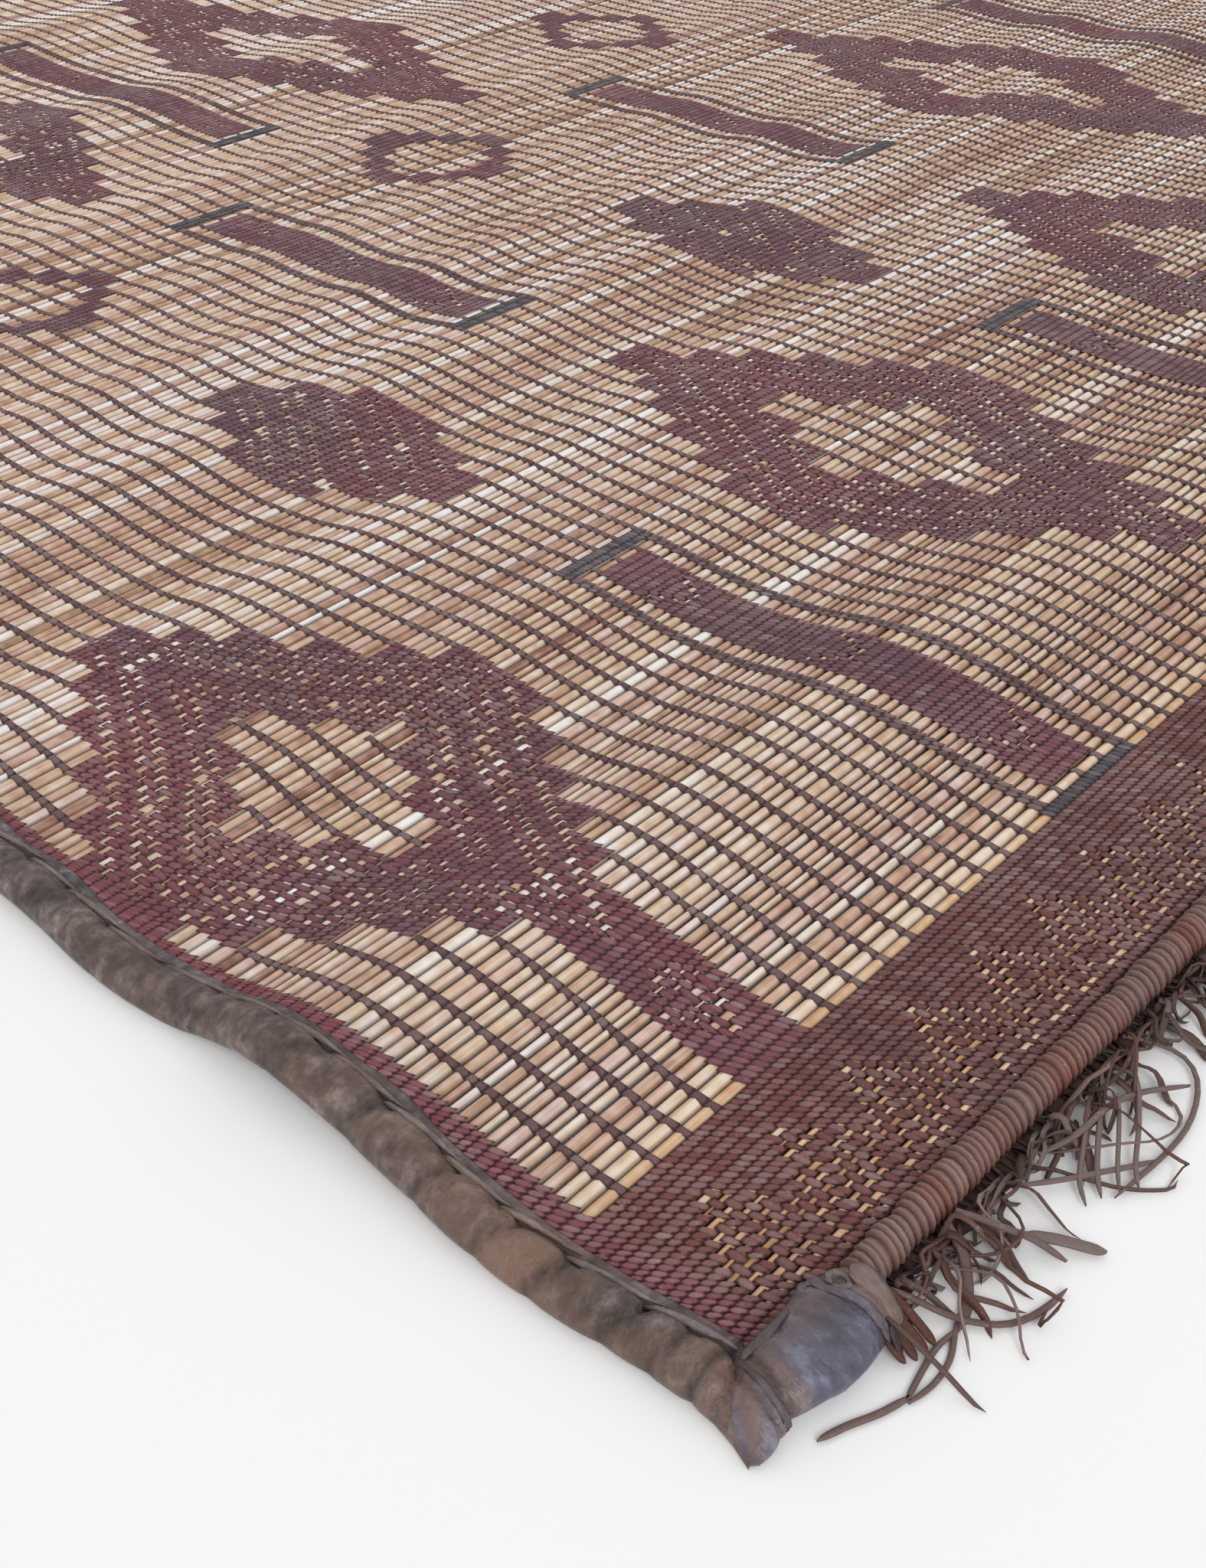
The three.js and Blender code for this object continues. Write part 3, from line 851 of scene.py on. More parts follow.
# %% Heavy leather
def hide_material(name, stops, roughness, specular, wrinkles):
    """Mottled hide: a ramp over the mottling, then tan parts with a painted highlight on the bindings' bulges,
    blue-grey parts with a painted sheen on the caps, then painted shade in the creases.
    """
    material, tree, shader, where = new_material(name, roughness, specular)
    leather = place(tree, hide, where)
    lines = scaled_noise(tree, where, wrinkles, detail=3, roughness=0.6)
    mottle = weighed(tree, leather.outputs["Mottle"], 0.62, lines, 0.38)
    colour = ramp(tree, mottle, *stops)
    patch = ramp(tree, scaled_noise(tree, where, 24, detail=3), (0.38, (0, 0, 0)), (0.62, (255, 255, 255)))
    # tan patches of the hide, which on the bindings' bulges are a painted highlight
    tan = calc(tree, "MULTIPLY", calc(tree, "MULTIPLY", point_value(tree, "tan"), patch), 0.7, clamp=True)
    colour = blend(tree, tan, colour, linear(136, 103, 82))
    # blue-grey parts of the hide, and on the caps' front side a painted sheen
    blue_and_sheen = calc(tree, "MULTIPLY", point_value(tree, "blue_and_sheen"), 0.8, clamp=True)
    cool = ramp(tree, mottle, (0.32, (58, 60, 76)), (0.5, (90, 94, 114)), (0.7, (156, 166, 198)))
    colour = blend(tree, blue_and_sheen, colour, cool)
    # painted shade: the value crease darkens creases and other hollows, and seam lines
    crease = calc(tree, "MULTIPLY", point_value(tree, "crease"), 0.85, clamp=True)
    colour = blend(tree, crease, colour, linear(38, 29, 27))
    tree.links.new(colour, shader.inputs["Base Color"])
    height = calc(tree, "ADD", lines, calc(tree, "MULTIPLY", leather.outputs["Mottle"], 0.8))
    bump(tree, shader, height, 0.9, 0.0024)
    return material


binding_leather = hide_material(
    "binding_leather",
    ((0.35, (38, 29, 27)), (0.44, (66, 54, 50)), (0.51, (92, 77, 71)), (0.58, (120, 104, 97)),
     (0.68, (166, 150, 140))), 0.48, 0.45, (150, 210, 150))
cap_leather = hide_material(
    "cap_leather",
    ((0.3, (62, 48, 46)), (0.45, (94, 77, 75)), (0.56, (118, 101, 99)), (0.75, (164, 148, 146))),
    0.42, 0.45, (170, 70, 70))

# %% [markdown]
# ## Side bindings
#
# A strip of hide is folded round the ends of the reeds. It lies as a soft roll, and its upper edge is a
# thin lip over the weave. The section below is carried along the side. Creases cross it, close and deep
# near the corners, and between two creases the hide bulges. Holes for the lacing dimple it along the lip.

# %% Side bindings
BINDING_SECTION = np.array([
    # inwards from the mat's outer edge, up, and how soft the hide is there
    (4.0, 0.0, 0), (16.8, 0.0, 0), (17.7, 2.0, 0), (17.7, 5.6, 0), (23.6, 5.75, 0), (24.2, 6.3, 0),
    (23.3, 7.0, 0), (20.6, 7.35, 0), (18.6, 7.2, 0.2), (17.3, 8.7, 0.6), (15.6, 10.8, 1), (13.0, 12.4, 1),
    (9.6, 13.1, 1), (6.3, 12.5, 1), (3.2, 10.8, 1), (1.1, 8.2, 1), (0.2, 5.2, 1), (0.9, 2.5, 0.8),
    (2.3, 0.8, 0.4)])
ROLL_MIDDLE, ROLL_RISE = 9, 6
BINDING_STATION_GAP = 3.0
GUSSET_LENGTH = 21.0
LACE_PITCH = 28.0
LACE_HOLE = 16.2


def crease_places(rng):
    """Places of the creases from end to end, and the depth of each: closer and deeper near a corner."""
    places, depths = [-PANEL_HALF_LENGTH - 8], [0.5]
    while places[-1] < PANEL_HALF_LENGTH + 30:
        near_corner = float(swell((PANEL_HALF_LENGTH - abs(places[-1])) / 260))
        places.append(places[-1] + rng.uniform(15, 27) + (1 - near_corner) * rng.uniform(4, 36))
        depths.append(rng.uniform(0.5, 1) * (0.22 + 0.78 * near_corner))
    return np.array(places), np.array(depths)


def lace_places(rng):
    """Places of the lacing's holes along a side."""
    count = int(2 * (PANEL_HALF_LENGTH - 14) / LACE_PITCH)
    return -PANEL_HALF_LENGTH + 30 + np.arange(count) * LACE_PITCH + rng.uniform(-3, 3, count)


def make_binding(name, side, seed):
    """The section at each station, scaled about the roll's middle by girth, bulges and creases.

    Past the panel's end the hide goes on as a gusset that narrows to the outer edge, under the corner cap."""
    rng = np.random.default_rng(seed)
    reach = PANEL_HALF_LENGTH + GUSSET_LENGTH
    stations = int(2 * reach / BINDING_STATION_GAP)
    y = np.linspace(-reach, reach, stations)[:, None]
    inward, up, soft = (BINDING_SECTION[None, :, i] for i in range(3))
    places, depths = crease_places(rng)
    waver = noise_sheet(seed + 1, (y + HALF_LENGTH) / 30, inward / 9)
    slanted = y + 0.5 * (inward - ROLL_MIDDLE) + 2.5 * waver
    after = np.clip(np.searchsorted(places, slanted), 1, len(places) - 1)
    gap = places[after] - places[after - 1]
    since, until = slanted - places[after - 1], places[after] - slanted
    crease = depths[after - 1] * np.exp(-(since / 2.1) ** 2) + depths[after] * np.exp(-(until / 2.1) ** 2)
    seam = np.exp(-((np.abs(y) - PANEL_HALF_LENGTH + 3.2) / 1.4) ** 2)
    bulge = 4 * since * until / gap ** 2 * (depths[after] + depths[after - 1]) / 2
    girth = noise_line(rng, stations, 42)[:, None] * 0.06 + noise_line(rng, stations, 160)[:, None] * 0.025
    holes = lace_places(np.random.default_rng(seed + 9))
    nearest = holes[np.clip(np.searchsorted(holes, y + LACE_PITCH / 2), 1, len(holes) - 1) - 1]
    hole = np.exp(-((y - nearest) / 2.4) ** 2 - ((inward - LACE_HOLE) / 2.2) ** 2) * (up > 6)
    inner = np.clip((inward - 1) / 6, 0.3, 1)
    scale = 1 + soft * (girth + inner * (0.2 * bulge - 0.32 * crease) - 0.12 * seam)
    past = np.clip((np.abs(y) - PANEL_HALF_LENGTH + 3) / (GUSSET_LENGTH + 3.2), 0, 0.99)
    u = (ROLL_MIDDLE + (inward - ROLL_MIDDLE) * scale) * (1 - past) ** 0.8 - 4 * past ** 2
    v = (ROLL_RISE + (up - ROLL_RISE) * scale - 1.6 * hole) * (1 - 0.75 * past)
    lip = (inward > 20) & (up > 5)
    u = u + np.where(lip, 0.9 * noise_sheet(seed + 3, (y + HALF_LENGTH) / 26, 0), 0)
    x = side * (HALF_WIDTH - u - drawn_in(side, y))
    z = np.maximum(v, 0.0) + lift(side * PANEL_HALF_WIDTH, y)
    points = np.stack(np.broadcast_arrays(x, y, z), axis=-1)
    near_corner = swell((PANEL_HALF_LENGTH - np.abs(y)) / 230)
    fold = np.where((inward > 16.8) & (inward < 19.5) & (up > 6), 0.75, 0.0)
    # painted shade in the creases, the lacing holes and the fold under the lip, and a dark line at the seam
    shade_and_seams = 1.15 * crease + fold + 1.3 * hole + 0.9 * seam
    # tan: the hide's own tan near the corner, plus a painted highlight on each bulge
    values = {"crease": np.clip(shade_and_seams, 0, 1), "tan": 0.15 + near_corner + 0.3 * bulge * soft,
              "blue_and_sheen": np.where(lip, 0.3, 0.1)}
    return fill_mesh(name, points, grid_faces(stations, len(BINDING_SECTION), ring=True), values, closed=True)


for side, word, seed in SIDES:
    roll = make_binding(f"binding_roll_{word}", side, seed)
    finish_piece(roll, binding_leather, [f"binding_{word}"])

# %% [markdown]
# ## Lacing
#
# One narrow thong sews the lip down, in running stitches that each come up out of a hole on the roll and
# lie slantwise over to the lip. A stitch is broad and round in its middle and thin at its ends.

# %% Lacing
def make_lacing(name, side, seed):
    """One strip for each hole: it starts in the hole, runs towards the front and drifts on to the lip."""
    rng = np.random.default_rng(seed)
    holes = lace_places(np.random.default_rng(seed + 9))
    stations = 10
    t = np.linspace(0, 1, stations)[None, :]
    length = rng.uniform(29, 37, (len(holes), 1))
    y = np.maximum(holes[:, None] + 1.5 - length * t, -PANEL_HALF_LENGTH + 2)
    drift = 3.2 + rng.uniform(-0.8, 1.0, (len(holes), 1))
    inward = LACE_HOLE + 0.2 + drift * t + 0.5 * np.sin(7 * t + y / 9)
    up = 8.9 - 0.9 * t + 1.3 * np.sin(np.pi * np.clip(1.15 * t, 0, 1)) - 1.4 * (t < 0.05)
    x = side * (HALF_WIDTH - inward - drawn_in(side, y))
    z = up + lift(side * PANEL_HALF_WIDTH, y)
    paths = np.stack([x, y, z], axis=-1)
    width = rng.uniform(1.05, 1.45, (len(holes), 1)) * (0.35 + 0.8 * np.sin(np.pi * t ** 0.75))
    width = width * (1 - 0.8 * t ** 6)
    points = swept(paths, width, 1.1 * (1 - 0.7 * t ** 6), ROUND_SIX, 0.25 * np.sin(3 * t + y / 20))
    bare = rng.uniform(0, 1, (len(holes), 1, 1))
    # painted shade where each stitch comes out of its hole
    dark = np.clip(1.2 - 8 * t, 0, 1)[..., None]
    return strips(name, points, {"crease": dark, "tan": 0.35 * bare, "blue_and_sheen": 0.25 * (1 - bare)})


lace_leather = hide_material(
    "lace_leather",
    ((0.3, (84, 70, 66)), (0.45, (112, 97, 92)), (0.58, (138, 122, 116)), (0.75, (172, 158, 152))),
    0.5, 0.35, (240, 60, 240))
for side, word, seed in SIDES:
    finish_piece(make_lacing(f"lacing_{word}", side, seed), lace_leather)

# %% [markdown]
# ## Whipped end rolls
#
# At each short end the thongs are wound over a bundle of reeds, one turn beside another, so every turn is a
# column's width. Each turn is a ridge: three stations make its crest and the valley before it.

# %% Whipped end rolls
CAP_LENGTH = 64.0
ROLL_WIDTH, ROLL_HEIGHT, ROLL_POINTS = 14.0, 12.0, 12
TURN_PLACES = np.array([0.04, 0.36, 0.7])
TURN_SCALE = np.array([0.86, 1.02, 0.99])


def flat_footed(angle):
    """A round section that is flat below: the cosine goes across, and up is 0 to 1, never below 0."""
    return np.cos(angle), np.maximum(0, (1 + 1.25 * np.sin(angle)) / 2.25)


def make_end_roll(name, end, seed):
    """Turns along X: the section scaled by the turn's ridge and a slow unevenness, leaning a little."""
    rng = np.random.default_rng(seed)
    half = HALF_WIDTH - CAP_LENGTH - 0.4
    turns = int(2 * half / COLUMN_PITCH)
    x = (-half + (np.arange(turns)[:, None] + TURN_PLACES) * 2 * half / turns).reshape(-1, 1)
    each = rng.normal(1, 0.05, (turns, 1)) * TURN_SCALE
    uneven = 1 - 0.05 * (1 + np.sin((x + half) / 61 + end)) / 2
    scale = each.reshape(-1, 1) * uneven
    scale[[0, -1]] *= 0.05
    across, up = flat_footed(2 * np.pi * (np.arange(ROLL_POINTS) + 0.5) / ROLL_POINTS)
    middle = HALF_LENGTH - ROLL_WIDTH / 2
    y = end * (middle + across * ROLL_WIDTH / 2 * scale) + 0.5 * noise_line(rng, len(x), 30)[:, None]
    z = up * ROLL_HEIGHT * scale
    lean = 1.5 * across * end + 0.5 * rng.normal(0, 1, (turns, 1)).repeat(3, axis=0) * up
    inside = np.clip((half - np.abs(x)) / 4, 0, 1)
    points = np.stack(np.broadcast_arrays(x + lean * inside, y, z), axis=-1)
    # painted shade: crest is 0 in the valley before each turn, and the material darkens it there
    crest = np.tile([0.0, 1.0, 0.8], turns)[:, None]
    slow = 0.06 * noise_line(rng, turns, 90)[:, None]
    tone = (rng.normal(0.05, 0.05, (turns, 1)) + slow).repeat(3, axis=0) + 0.16 * up
    dye = (rng.normal(0.55, 0.12, (turns, 1)) - 5 * slow).repeat(3, axis=0)
    values = {"crest": crest, "tone": np.clip(tone, 0, 1), "dye": np.clip(dye, 0, 1)}
    return fill_mesh(name, points, grid_faces(len(x), ROLL_POINTS, ring=True), values, closed=True)


whipping_leather = twining_material("whipping_leather", (34, 17, 14), (116, 84, 78), (140, 84, 66))
for end, word in ENDS:
    roll = make_end_roll(f"whipped_roll_{word}", end, 140 + end)
    finish_piece(roll, whipping_leather, [f"end_roll_{word}"])

# %% [markdown]
# ## Corner caps
#
# A tube of leather closes each corner. It is drawn to a point at the outer edge, a raised welt crosses it
# behind the point, and a strap ties its other end. Its width and height come from the table, a curve
# through each row.

# %% Corner caps
CAP_TABLE = np.array([
    # from the outer edge, inner side and outer side from the panel, height
    (-4, 18.5, 22, 3), (-2, 14, 23, 6), (2, 8, 24, 9), (6, 4, 24, 11), (10, 1.5, 23, 12.5), (14, 0.5, 22, 14),
    (20, 0, 24.5, 16), (32, 0, 28, 17.5), (44, 0, 28.5, 17.3), (54, 0.3, 27, 16), (60, 0.8, 24, 14.5),
    (64, 2, 21, 12.5)], dtype=float)
CAP_POINT = -4.0
CAP_STATIONS, CAP_POINTS = 60, 24
CAP_INNER_LINE = PANEL_HALF_LENGTH + 0.3
WELT_AT = 12.5
WELT_SLANT = 2.5


def cap_ripple(seed, along, angle):
    """The broad folds of a cap's leather, as noise over along and angle."""
    return noise_sheet(seed, (along + 6) / 9 + 1.2 * np.cos(angle) + 2, 2.6 + 2.5 * np.sin(angle))


def cap_place(side, end, along, angle, seed, grow):
    """A place on a cap: the table's section at along, turned by angle, with folds of noise in the leather."""
    inner, outer, height = (np.interp(along, CAP_TABLE[:, 0], CAP_TABLE[:, k]) for k in (1, 2, 3))
    across, up = flat_footed(angle)
    fine_ripple = noise_sheet(seed + 1, (along + 6) / 4 + 2, 4 + 3.9 * np.sin(angle + 0.4))
    girth = grow * (1 + 0.05 * cap_ripple(seed, along, angle) + 0.03 * fine_ripple)
    outward = (inner + outer) / 2 + across * girth * (outer - inner) / 2
    return np.stack(np.broadcast_arrays(side * (HALF_WIDTH - along), end * (CAP_INNER_LINE + outward),
                                        up * height * girth), axis=-1)


def make_cap(name, side, end, seed):
    """The tube, station by station, with the welt raised between two valleys darkened with painted shade."""
    along = np.linspace(CAP_POINT, CAP_LENGTH, CAP_STATIONS)[:, None]
    angle = (2 * np.pi * (np.arange(CAP_POINTS) + 0.5) / CAP_POINTS)[None, :]
    from_welt = along - WELT_AT + WELT_SLANT * np.cos(angle)
    grow = 1 + 0.08 * np.exp(-(from_welt / 1.5) ** 2) - 0.06 * np.exp(-((np.abs(from_welt) - 3.2) / 1.2) ** 2)
    from_ends = np.minimum(along - CAP_POINT, CAP_LENGTH - along) + 0.02
    closing = np.clip(from_ends / 2.2, 0.01, 1) ** 0.5
    points = cap_place(side, end, along, angle, seed, grow)
    middle = points.mean(axis=1, keepdims=True)
    points = middle + (points - middle) * closing[..., None]
    valley = np.exp(-((from_welt - 3.4) / 1.1) ** 2) + 0.7 * np.exp(-((from_welt + 3.2) / 1.0) ** 2)
    ripple = cap_ripple(seed, along, angle)
    seam = np.exp(-((angle - np.pi * 0.93) / 0.12) ** 2) * 0.8
    middle_part = np.clip((along - 17) / 6, 0, 1) * np.clip((56 - along) / 8, 0, 1)
    # painted sheen: blue-grey on the cap's front side and on the ripples near its point
    blue_and_sheen = middle_part * np.clip(0.75 + 0.6 * np.cos(angle), 0.1, 1)
    blue_and_sheen = blue_and_sheen + 0.6 * (along < 11) * np.clip(1.4 * ripple + 0.3, 0, 1)
    # painted shade in the welt's valleys and the hollows of the folds, and a dark seam line
    shade_and_seams = 0.8 * valley + seam + 0.6 * np.clip(-ripple - 0.3, 0, 1)
    values = {"crease": np.clip(shade_and_seams, 0, 1), "blue_and_sheen": blue_and_sheen,
              "tan": np.where(along > 55, 0.9, np.where(along < 12, 0.6, 0.4))}
    return fill_mesh(name, points, grid_faces(CAP_STATIONS, CAP_POINTS, ring=True), values, closed=True)


def cap_straps(name, side, end, seed):
    """Strips on the cap: strap, hanging tab, inner thong, welt, and the strap's loop and flap on the roll."""
    def line(from_edge, past_panel, up):
        """A path by its distance from the mat's outer edge, from the panel's end, and its height."""
        return np.stack([side * (HALF_WIDTH - from_edge), end * (CAP_INNER_LINE + past_panel), up], axis=-1)

    t = np.linspace(0, 1, 16)
    loop = line(54 - 3 * np.cos(6.2 * t), 8 + 3.4 * np.sin(6.2 * t), 15.8 + 0.8 * np.cos(6.2 * t))
    flap = line(60 - t, 8 + 20 * t, 17 - 13 * t ** 2.2)
    over = cap_place(side, end, 49.5 + 2.5 * t, np.pi * (0.98 - 1.03 * t), seed, 1.05)
    over[:, 2] = np.maximum(over[:, 2], 1.4)
    tab = line(53 + 2 * t, 27 + 4 * t, 12 - 10.4 * t)
    thong = cap_place(side, end, 15 + 36 * t, np.pi * (0.8 - 0.06 * np.sin(5 * t)), seed, 1.04)
    turn = np.pi * (0.9 - 0.98 * t)
    welt = cap_place(side, end, WELT_AT - WELT_SLANT * np.cos(turn), turn, seed, 1.05)
    welt[:, 2] = np.maximum(welt[:, 2], 1.2)
    paths = np.stack([over, tab, thong, welt, loop, flap])
    width = np.stack([1.9 + 0 * t, 2.4 + 0.6 * t, 1.5 + 0.3 * np.sin(9 * t), 1.3 + 0.2 * t, 1.2 + 0 * t,
                      4.4 - 0.6 * t])
    points = swept(paths, width * tapered(16), 0.8 * tapered(16)[None], ROUND_SIX)
    dark = np.array([0.25, 0.85, 0.45, 0.6, 0.15, 0.1])[:, None, None]
    blue_and_sheen = np.array([0.6, 0.5, 0.5, 0.5, 0.4, 0.0])[:, None, None]
    return strips(name, points, {"crease": dark, "blue_and_sheen": blue_and_sheen, "tan": 0.15})


for side, side_word, _ in SIDES:
    for end, end_word in ENDS:
        seed = 160 + 10 * (side + 1) + 3 * (end + 1)
        word = f"{end_word}_{side_word}"
        cap = make_cap(f"cap_tube_{word}", side, end, seed)
        finish_piece(cap, cap_leather, [f"cap_{word}"])
        finish_piece(cap_straps(f"cap_straps_{word}", side, end, seed), lace_leather)

# %% [markdown]
# ## Fringe
#
# Worn thongs hang out from under each end roll, dry and curled. A thong's heading turns as it goes, by its
# own curl and by noise, and its path is the running sum of short steps along the heading. Thin ones reach
# far, broad ones lie flat, and short ones tangle at the roots. Painted shade darkens each strand towards its
# root, and the tangled ones and the strip under the roll most.

# %% Fringe
FRINGE_STATIONS = 15
ROOT_LINE = HALF_LENGTH - 4.5
FRINGE_LIMIT = 1396


def strand_paths(rng, roots, length, heading, curl, wobble, rise):
    """Paths from the roots: each step goes along a heading, and the height swells, then sinks."""
    count = len(roots)
    t = np.linspace(0, 1, FRINGE_STATIONS)[None, :]
    knots = rng.normal(0, 1, (count, 6))
    at = t * 5
    low = np.minimum(np.floor(at).astype(int), 4)
    part = (1 - np.cos(np.pi * (at - low))) / 2
    strand = np.arange(count)[:, None]
    drift = knots[strand, low] * (1 - part) + knots[strand, low + 1] * part
    angle = heading[:, None] + curl[:, None] * t + wobble * drift * np.minimum(3 * t, 1)
    step = length[:, None] / (FRINGE_STATIONS - 1)
    x = roots[:, None] + np.cumsum(np.cos(angle) * step, axis=1)
    y = -ROOT_LINE + np.cumsum(np.sin(angle) * step, axis=1)
    outer = -HALF_LENGTH - 2 - 6 * t
    y = np.where(y > outer, outer - 0.35 * (y - outer), y)
    y = np.where(y < -FRINGE_LIMIT, -FRINGE_LIMIT - 0.25 * (y + FRINGE_LIMIT), y)
    y[:, 0] = -ROOT_LINE
    reach = HALF_WIDTH - CAP_LENGTH + 8
    x = np.clip(x, -reach, reach) + 0.1 * (x - np.clip(x, -reach, reach))
    z = 3.2 + rise[:, None] * np.sin(np.pi * np.clip(t * 1.1, 0, 1)) + 0.8 * drift * t - 1.9 * t
    return np.stack([x, y, np.maximum(z, 1.1)], axis=-1)


STRANDS = {
    # kind: count, shortest, longest, spread of heading, of curl and of wobble, highest rise, narrowest,
    # widest, painted shade
    "thin": (300, 34, 80, 0.7, 2.3, 0.6, 12, 0.45, 0.9, 0.05),
    "broad": (110, 16, 42, 0.35, 0.9, 0.3, 6, 1.0, 1.7, 0.15),
    "tangle": (330, 18, 36, 1.1, 3.0, 0.8, 10, 0.6, 1.1, 0.4)}


def fringe_strands(rng, kind):
    """Points and values of one kind of strand."""
    count, shortest, longest, fan, curling, wobble, highest, narrowest, widest, painted_shade = STRANDS[kind]
    free = HALF_WIDTH - CAP_LENGTH - 6
    roots = np.linspace(-free, free, count) + rng.uniform(-3, 3, count)
    heading = -np.pi / 2 + rng.normal(-0.25, fan, count)
    length = rng.uniform(shortest, longest, count)
    curl = rng.normal(0, curling, count)
    rise = rng.uniform(0.5, highest, count)
    paths = strand_paths(rng, roots, length, heading, curl, wobble, rise)
    t = np.linspace(0, 1, FRINGE_STATIONS)[None, :]
    width = rng.uniform(narrowest, widest, (count, 1))
    leaf = (rng.random((count, 1)) < 0.07) * 1.6 * np.exp(-((t - 0.86) / 0.1) ** 2)
    width = width * (1 + leaf) * tapered(FRINGE_STATIONS, 0.6, 0.12, 10)
    twist = rng.normal(0, 1.1, (count, 1)) * t + 0.5 * rng.normal(0, 1, (count, 1))
    points = swept(paths, width, rng.uniform(0.45, 0.7, (count, 1)) * tapered(FRINGE_STATIONS, 0.6, 0.2, 10),
                   FLAT_FOUR, twist)
    shape = (count, 1, 1)
    dry = 0.02 + 0.6 * rng.random(shape) ** 4
    tone = dry + 0.1 * rng.random(shape) * t[..., None]
    dye = rng.uniform(0, 0.8, shape)
    # painted shade: crest is low near the root, and lower still for the kinds that the table shades more
    crest = np.clip(0.1 + 1.8 * t - painted_shade, 0, 0.95 - painted_shade)[..., None]
    return points, *(np.broadcast_to(value, points.shape[:3]) for value in (tone, dye, crest))


def make_fringe(name, end, seed):
    """All kinds of strand in one mesh. The back fringe has the same rule and another seed, turned round."""
    rng = np.random.default_rng(seed)
    kinds = [fringe_strands(rng, kind) for kind in STRANDS]
    points, tone, dye, crest = (np.concatenate(part) for part in zip(*kinds))
    points[..., 2] = np.maximum(points[..., 2], 0.3)
    if end > 0:
        points[..., :2] *= -1
    return strips(name, points, {"tone": tone, "dye": dye, "crest": crest})


def make_heading(name, end):
    """The ragged strip that the roots share, from under the roll to a little past it, as one flat sweep."""
    stations = 500
    rng = np.random.default_rng(230 + end)
    x = np.linspace(-1, 1, stations) * (HALF_WIDTH - CAP_LENGTH - 3)
    ragged = 2.2 * noise_line(rng, stations, 240) + 1.5 * noise_line(rng, stations, 90)
    up = 2.2 + 0.3 * noise_line(rng, stations, 160)
    path = np.stack([x, end * (HALF_LENGTH + 0.5 + ragged / 2), up], axis=-1)
    points = swept(path[None], 5.5 + ragged / 2, 1.1, FLAT_FOUR)
    # crest 0.3 darkens the strip with painted shade, as it lies under the roll
    return strips(name, points, {"tone": 0.02, "dye": 0.4, "crest": 0.3})


fringe_leather = twining_material("fringe_leather", (26, 17, 15), (80, 60, 52), (106, 66, 55))
for end, word in ENDS:
    fringe = make_fringe(f"fringe_thongs_{word}", end, 203 + end)
    finish_piece(fringe, fringe_leather, [f"fringe_{word}"])
    finish_piece(make_heading(f"fringe_heading_{word}", end), fringe_leather)

# %% [markdown]
# ## Loose thongs
#
# At the front left corner the fringe's longest thongs show one by one. Four red wraps lie side by side at
# the cap, one thong runs out in an arc below it, and some thin ones cross each other like the rungs of a
# ladder.

# %% Loose thongs at the front left corner
LOOSE = [
    # half width, then places from the root to the end
    (1.9, [(-838, -1352, 9), (-839, -1360, 7), (-840, -1368, 4), (-841, -1373, 2)]),
    (1.7, [(-842, -1353, 9), (-843, -1361, 7), (-844, -1368, 4), (-845, -1372, 2)]),
    (1.7, [(-834, -1352, 9), (-835, -1360, 7), (-836, -1368, 4), (-837, -1373, 2)]),
    (1.6, [(-846, -1353, 9), (-847, -1361, 7), (-848, -1367, 4), (-848, -1370, 2)]),
    (1.3, [(-836, -1350, 9), (-831, -1356, 7), (-827, -1371, 3), (-818, -1385, 1.6), (-806, -1390, 1.4),
           (-794, -1391, 1.8)]),
    (1.9, [(-800, -1352, 7), (-805, -1362, 5), (-818, -1372, 2), (-828, -1375, 1.5)]),
    (1.0, [(-826, -1373, 1.5), (-838, -1379, 1.3), (-848, -1380, 1.3), (-858, -1378, 1.3)]),
    (1.0, [(-826, -1375, 1.5), (-836, -1373, 1.3), (-848, -1375, 1.3), (-858, -1377, 1.3)]),
    (1.3, [(-856, -1377, 1.3), (-866, -1374, 1.3), (-876, -1369, 1.4), (-885, -1366, 1.6)]),
    (1.5, [(-795, -1352, 8), (-793, -1363, 9), (-788, -1376, 7), (-786, -1386, 3)]),
    (1.0, [(-692, -1352, 7), (-685, -1359, 5), (-680, -1373, 3), (-689, -1381, 2), (-711, -1388, 2),
           (-731, -1387, 2), (-753, -1384, 2)]),
    (1.3, [(-756, -1358, 5), (-742, -1364, 7), (-725, -1364, 7), (-710, -1368, 5), (-694, -1379, 3)]),
    (1.2, [(-770, -1360, 4), (-759, -1369, 4), (-750, -1375, 4), (-739, -1382, 3), (-731, -1386, 2)]),
    (0.9, [(-733, -1362, 6), (-746, -1368, 6), (-757, -1373, 4), (-762, -1379, 2)]),
    (1.0, [(-724, -1362, 6), (-738, -1369, 6), (-751, -1376, 4), (-756, -1381, 2)]),
    (0.8, [(-716, -1364, 6), (-730, -1372, 6), (-745, -1380, 4), (-750, -1384, 2)]),
    (0.9, [(-708, -1367, 6), (-724, -1376, 6), (-739, -1383, 3), (-745, -1388, 2)]),
    (2.4, [(-788, -1372, 6), (-782, -1380, 5), (-777, -1388, 3), (-774, -1393, 2)]),
]


